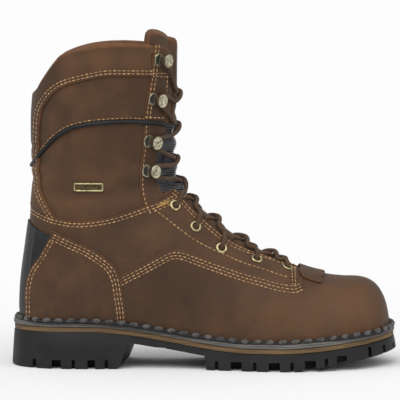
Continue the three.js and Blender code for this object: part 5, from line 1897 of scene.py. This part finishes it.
class BOOT_OT_sole(bpy.types.Operator):
    """Makes the outsole, the midsole, the welt and their stitches"""
    bl_idname = "boot.sole"
    bl_label = "Sole"

    def execute(self, context):
        make_sole(context.scene.boot_sizes)
        return {"FINISHED"}


class BOOT_OT_upper(bpy.types.Operator):
    """Makes the leather panels of the upper"""
    bl_idname = "boot.upper"
    bl_label = "Upper"

    def execute(self, context):
        make_upper(context.scene.boot_sizes)
        return {"FINISHED"}


class BOOT_OT_tongue(bpy.types.Operator):
    """Makes the padded tongue and its gusset"""
    bl_idname = "boot.tongue"
    bl_label = "Tongue"

    def execute(self, context):
        make_tongue(context.scene.boot_sizes)
        return {"FINISHED"}


class BOOT_OT_kiltie(bpy.types.Operator):
    """Makes the fringed flap at the foot of the throat"""
    bl_idname = "boot.kiltie"
    bl_label = "Kiltie"

    def execute(self, context):
        make_kiltie(context.scene.boot_sizes)
        return {"FINISHED"}


class BOOT_OT_trim(bpy.types.Operator):
    """Makes the heel strip, the piping and the bare plate"""
    bl_idname = "boot.trim"
    bl_label = "Trim"

    def execute(self, context):
        make_trim(context.scene.boot_sizes)
        return {"FINISHED"}


class BOOT_OT_hardware(bpy.types.Operator):
    """Makes the eyelets and the lace hooks"""
    bl_idname = "boot.hardware"
    bl_label = "Eyelets and hooks"

    def execute(self, context):
        make_hardware(context.scene.boot_sizes)
        return {"FINISHED"}


class BOOT_OT_laces(bpy.types.Operator):
    """Runs the lace through the eyelets and round the hooks"""
    bl_idname = "boot.laces"
    bl_label = "Laces"

    def execute(self, context):
        make_laces(context.scene.boot_sizes)
        return {"FINISHED"}


class BOOT_OT_seams(bpy.types.Operator):
    """Makes the rows of stitches on the panels"""
    bl_idname = "boot.seams"
    bl_label = "Seams"

    def execute(self, context):
        make_seams(context.scene.boot_sizes)
        return {"FINISHED"}


class BOOT_OT_stage(bpy.types.Operator):
    """Makes the floor, the lights and the camera"""
    bl_idname = "boot.stage"
    bl_label = "Stage"

    def execute(self, context):
        make_stage(context.scene.boot_sizes)
        return {"FINISHED"}


OPERATORS = (BOOT_OT_finishes, BOOT_OT_sole, BOOT_OT_upper, BOOT_OT_tongue, BOOT_OT_kiltie, BOOT_OT_trim,
             BOOT_OT_hardware, BOOT_OT_laces, BOOT_OT_seams, BOOT_OT_stage)


class BOOT_PT_panel(bpy.types.Panel):
    """Lists the boot's sizes and the steps that build it"""
    bl_label = "Logger boot"
    bl_idname = "BOOT_PT_panel"
    bl_space_type = "VIEW_3D"
    bl_region_type = "UI"
    bl_category = "Boot"

    def draw(self, context):
        for key in BootSizes.__annotations__:
            self.layout.prop(context.scene.boot_sizes, key)
        for made in OPERATORS:
            self.layout.operator(made.bl_idname)


CLASSES = (BootSizes, *OPERATORS, BOOT_PT_panel)


def register():
    for made in CLASSES:
        bpy.utils.register_class(made)
    bpy.types.Scene.boot_sizes = bpy.props.PointerProperty(type=BootSizes)


def unregister():
    del bpy.types.Scene.boot_sizes
    for made in reversed(CLASSES):
        bpy.utils.unregister_class(made)


def main():
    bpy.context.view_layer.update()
    register()
    bpy.ops.boot.finishes()
    bpy.ops.boot.sole()
    bpy.ops.boot.upper()
    bpy.ops.boot.tongue()
    bpy.ops.boot.kiltie()
    bpy.ops.boot.trim()
    bpy.ops.boot.hardware()
    bpy.ops.boot.laces()
    bpy.ops.boot.seams()
    bpy.ops.boot.stage()


if __name__ == "__main__":
    main()
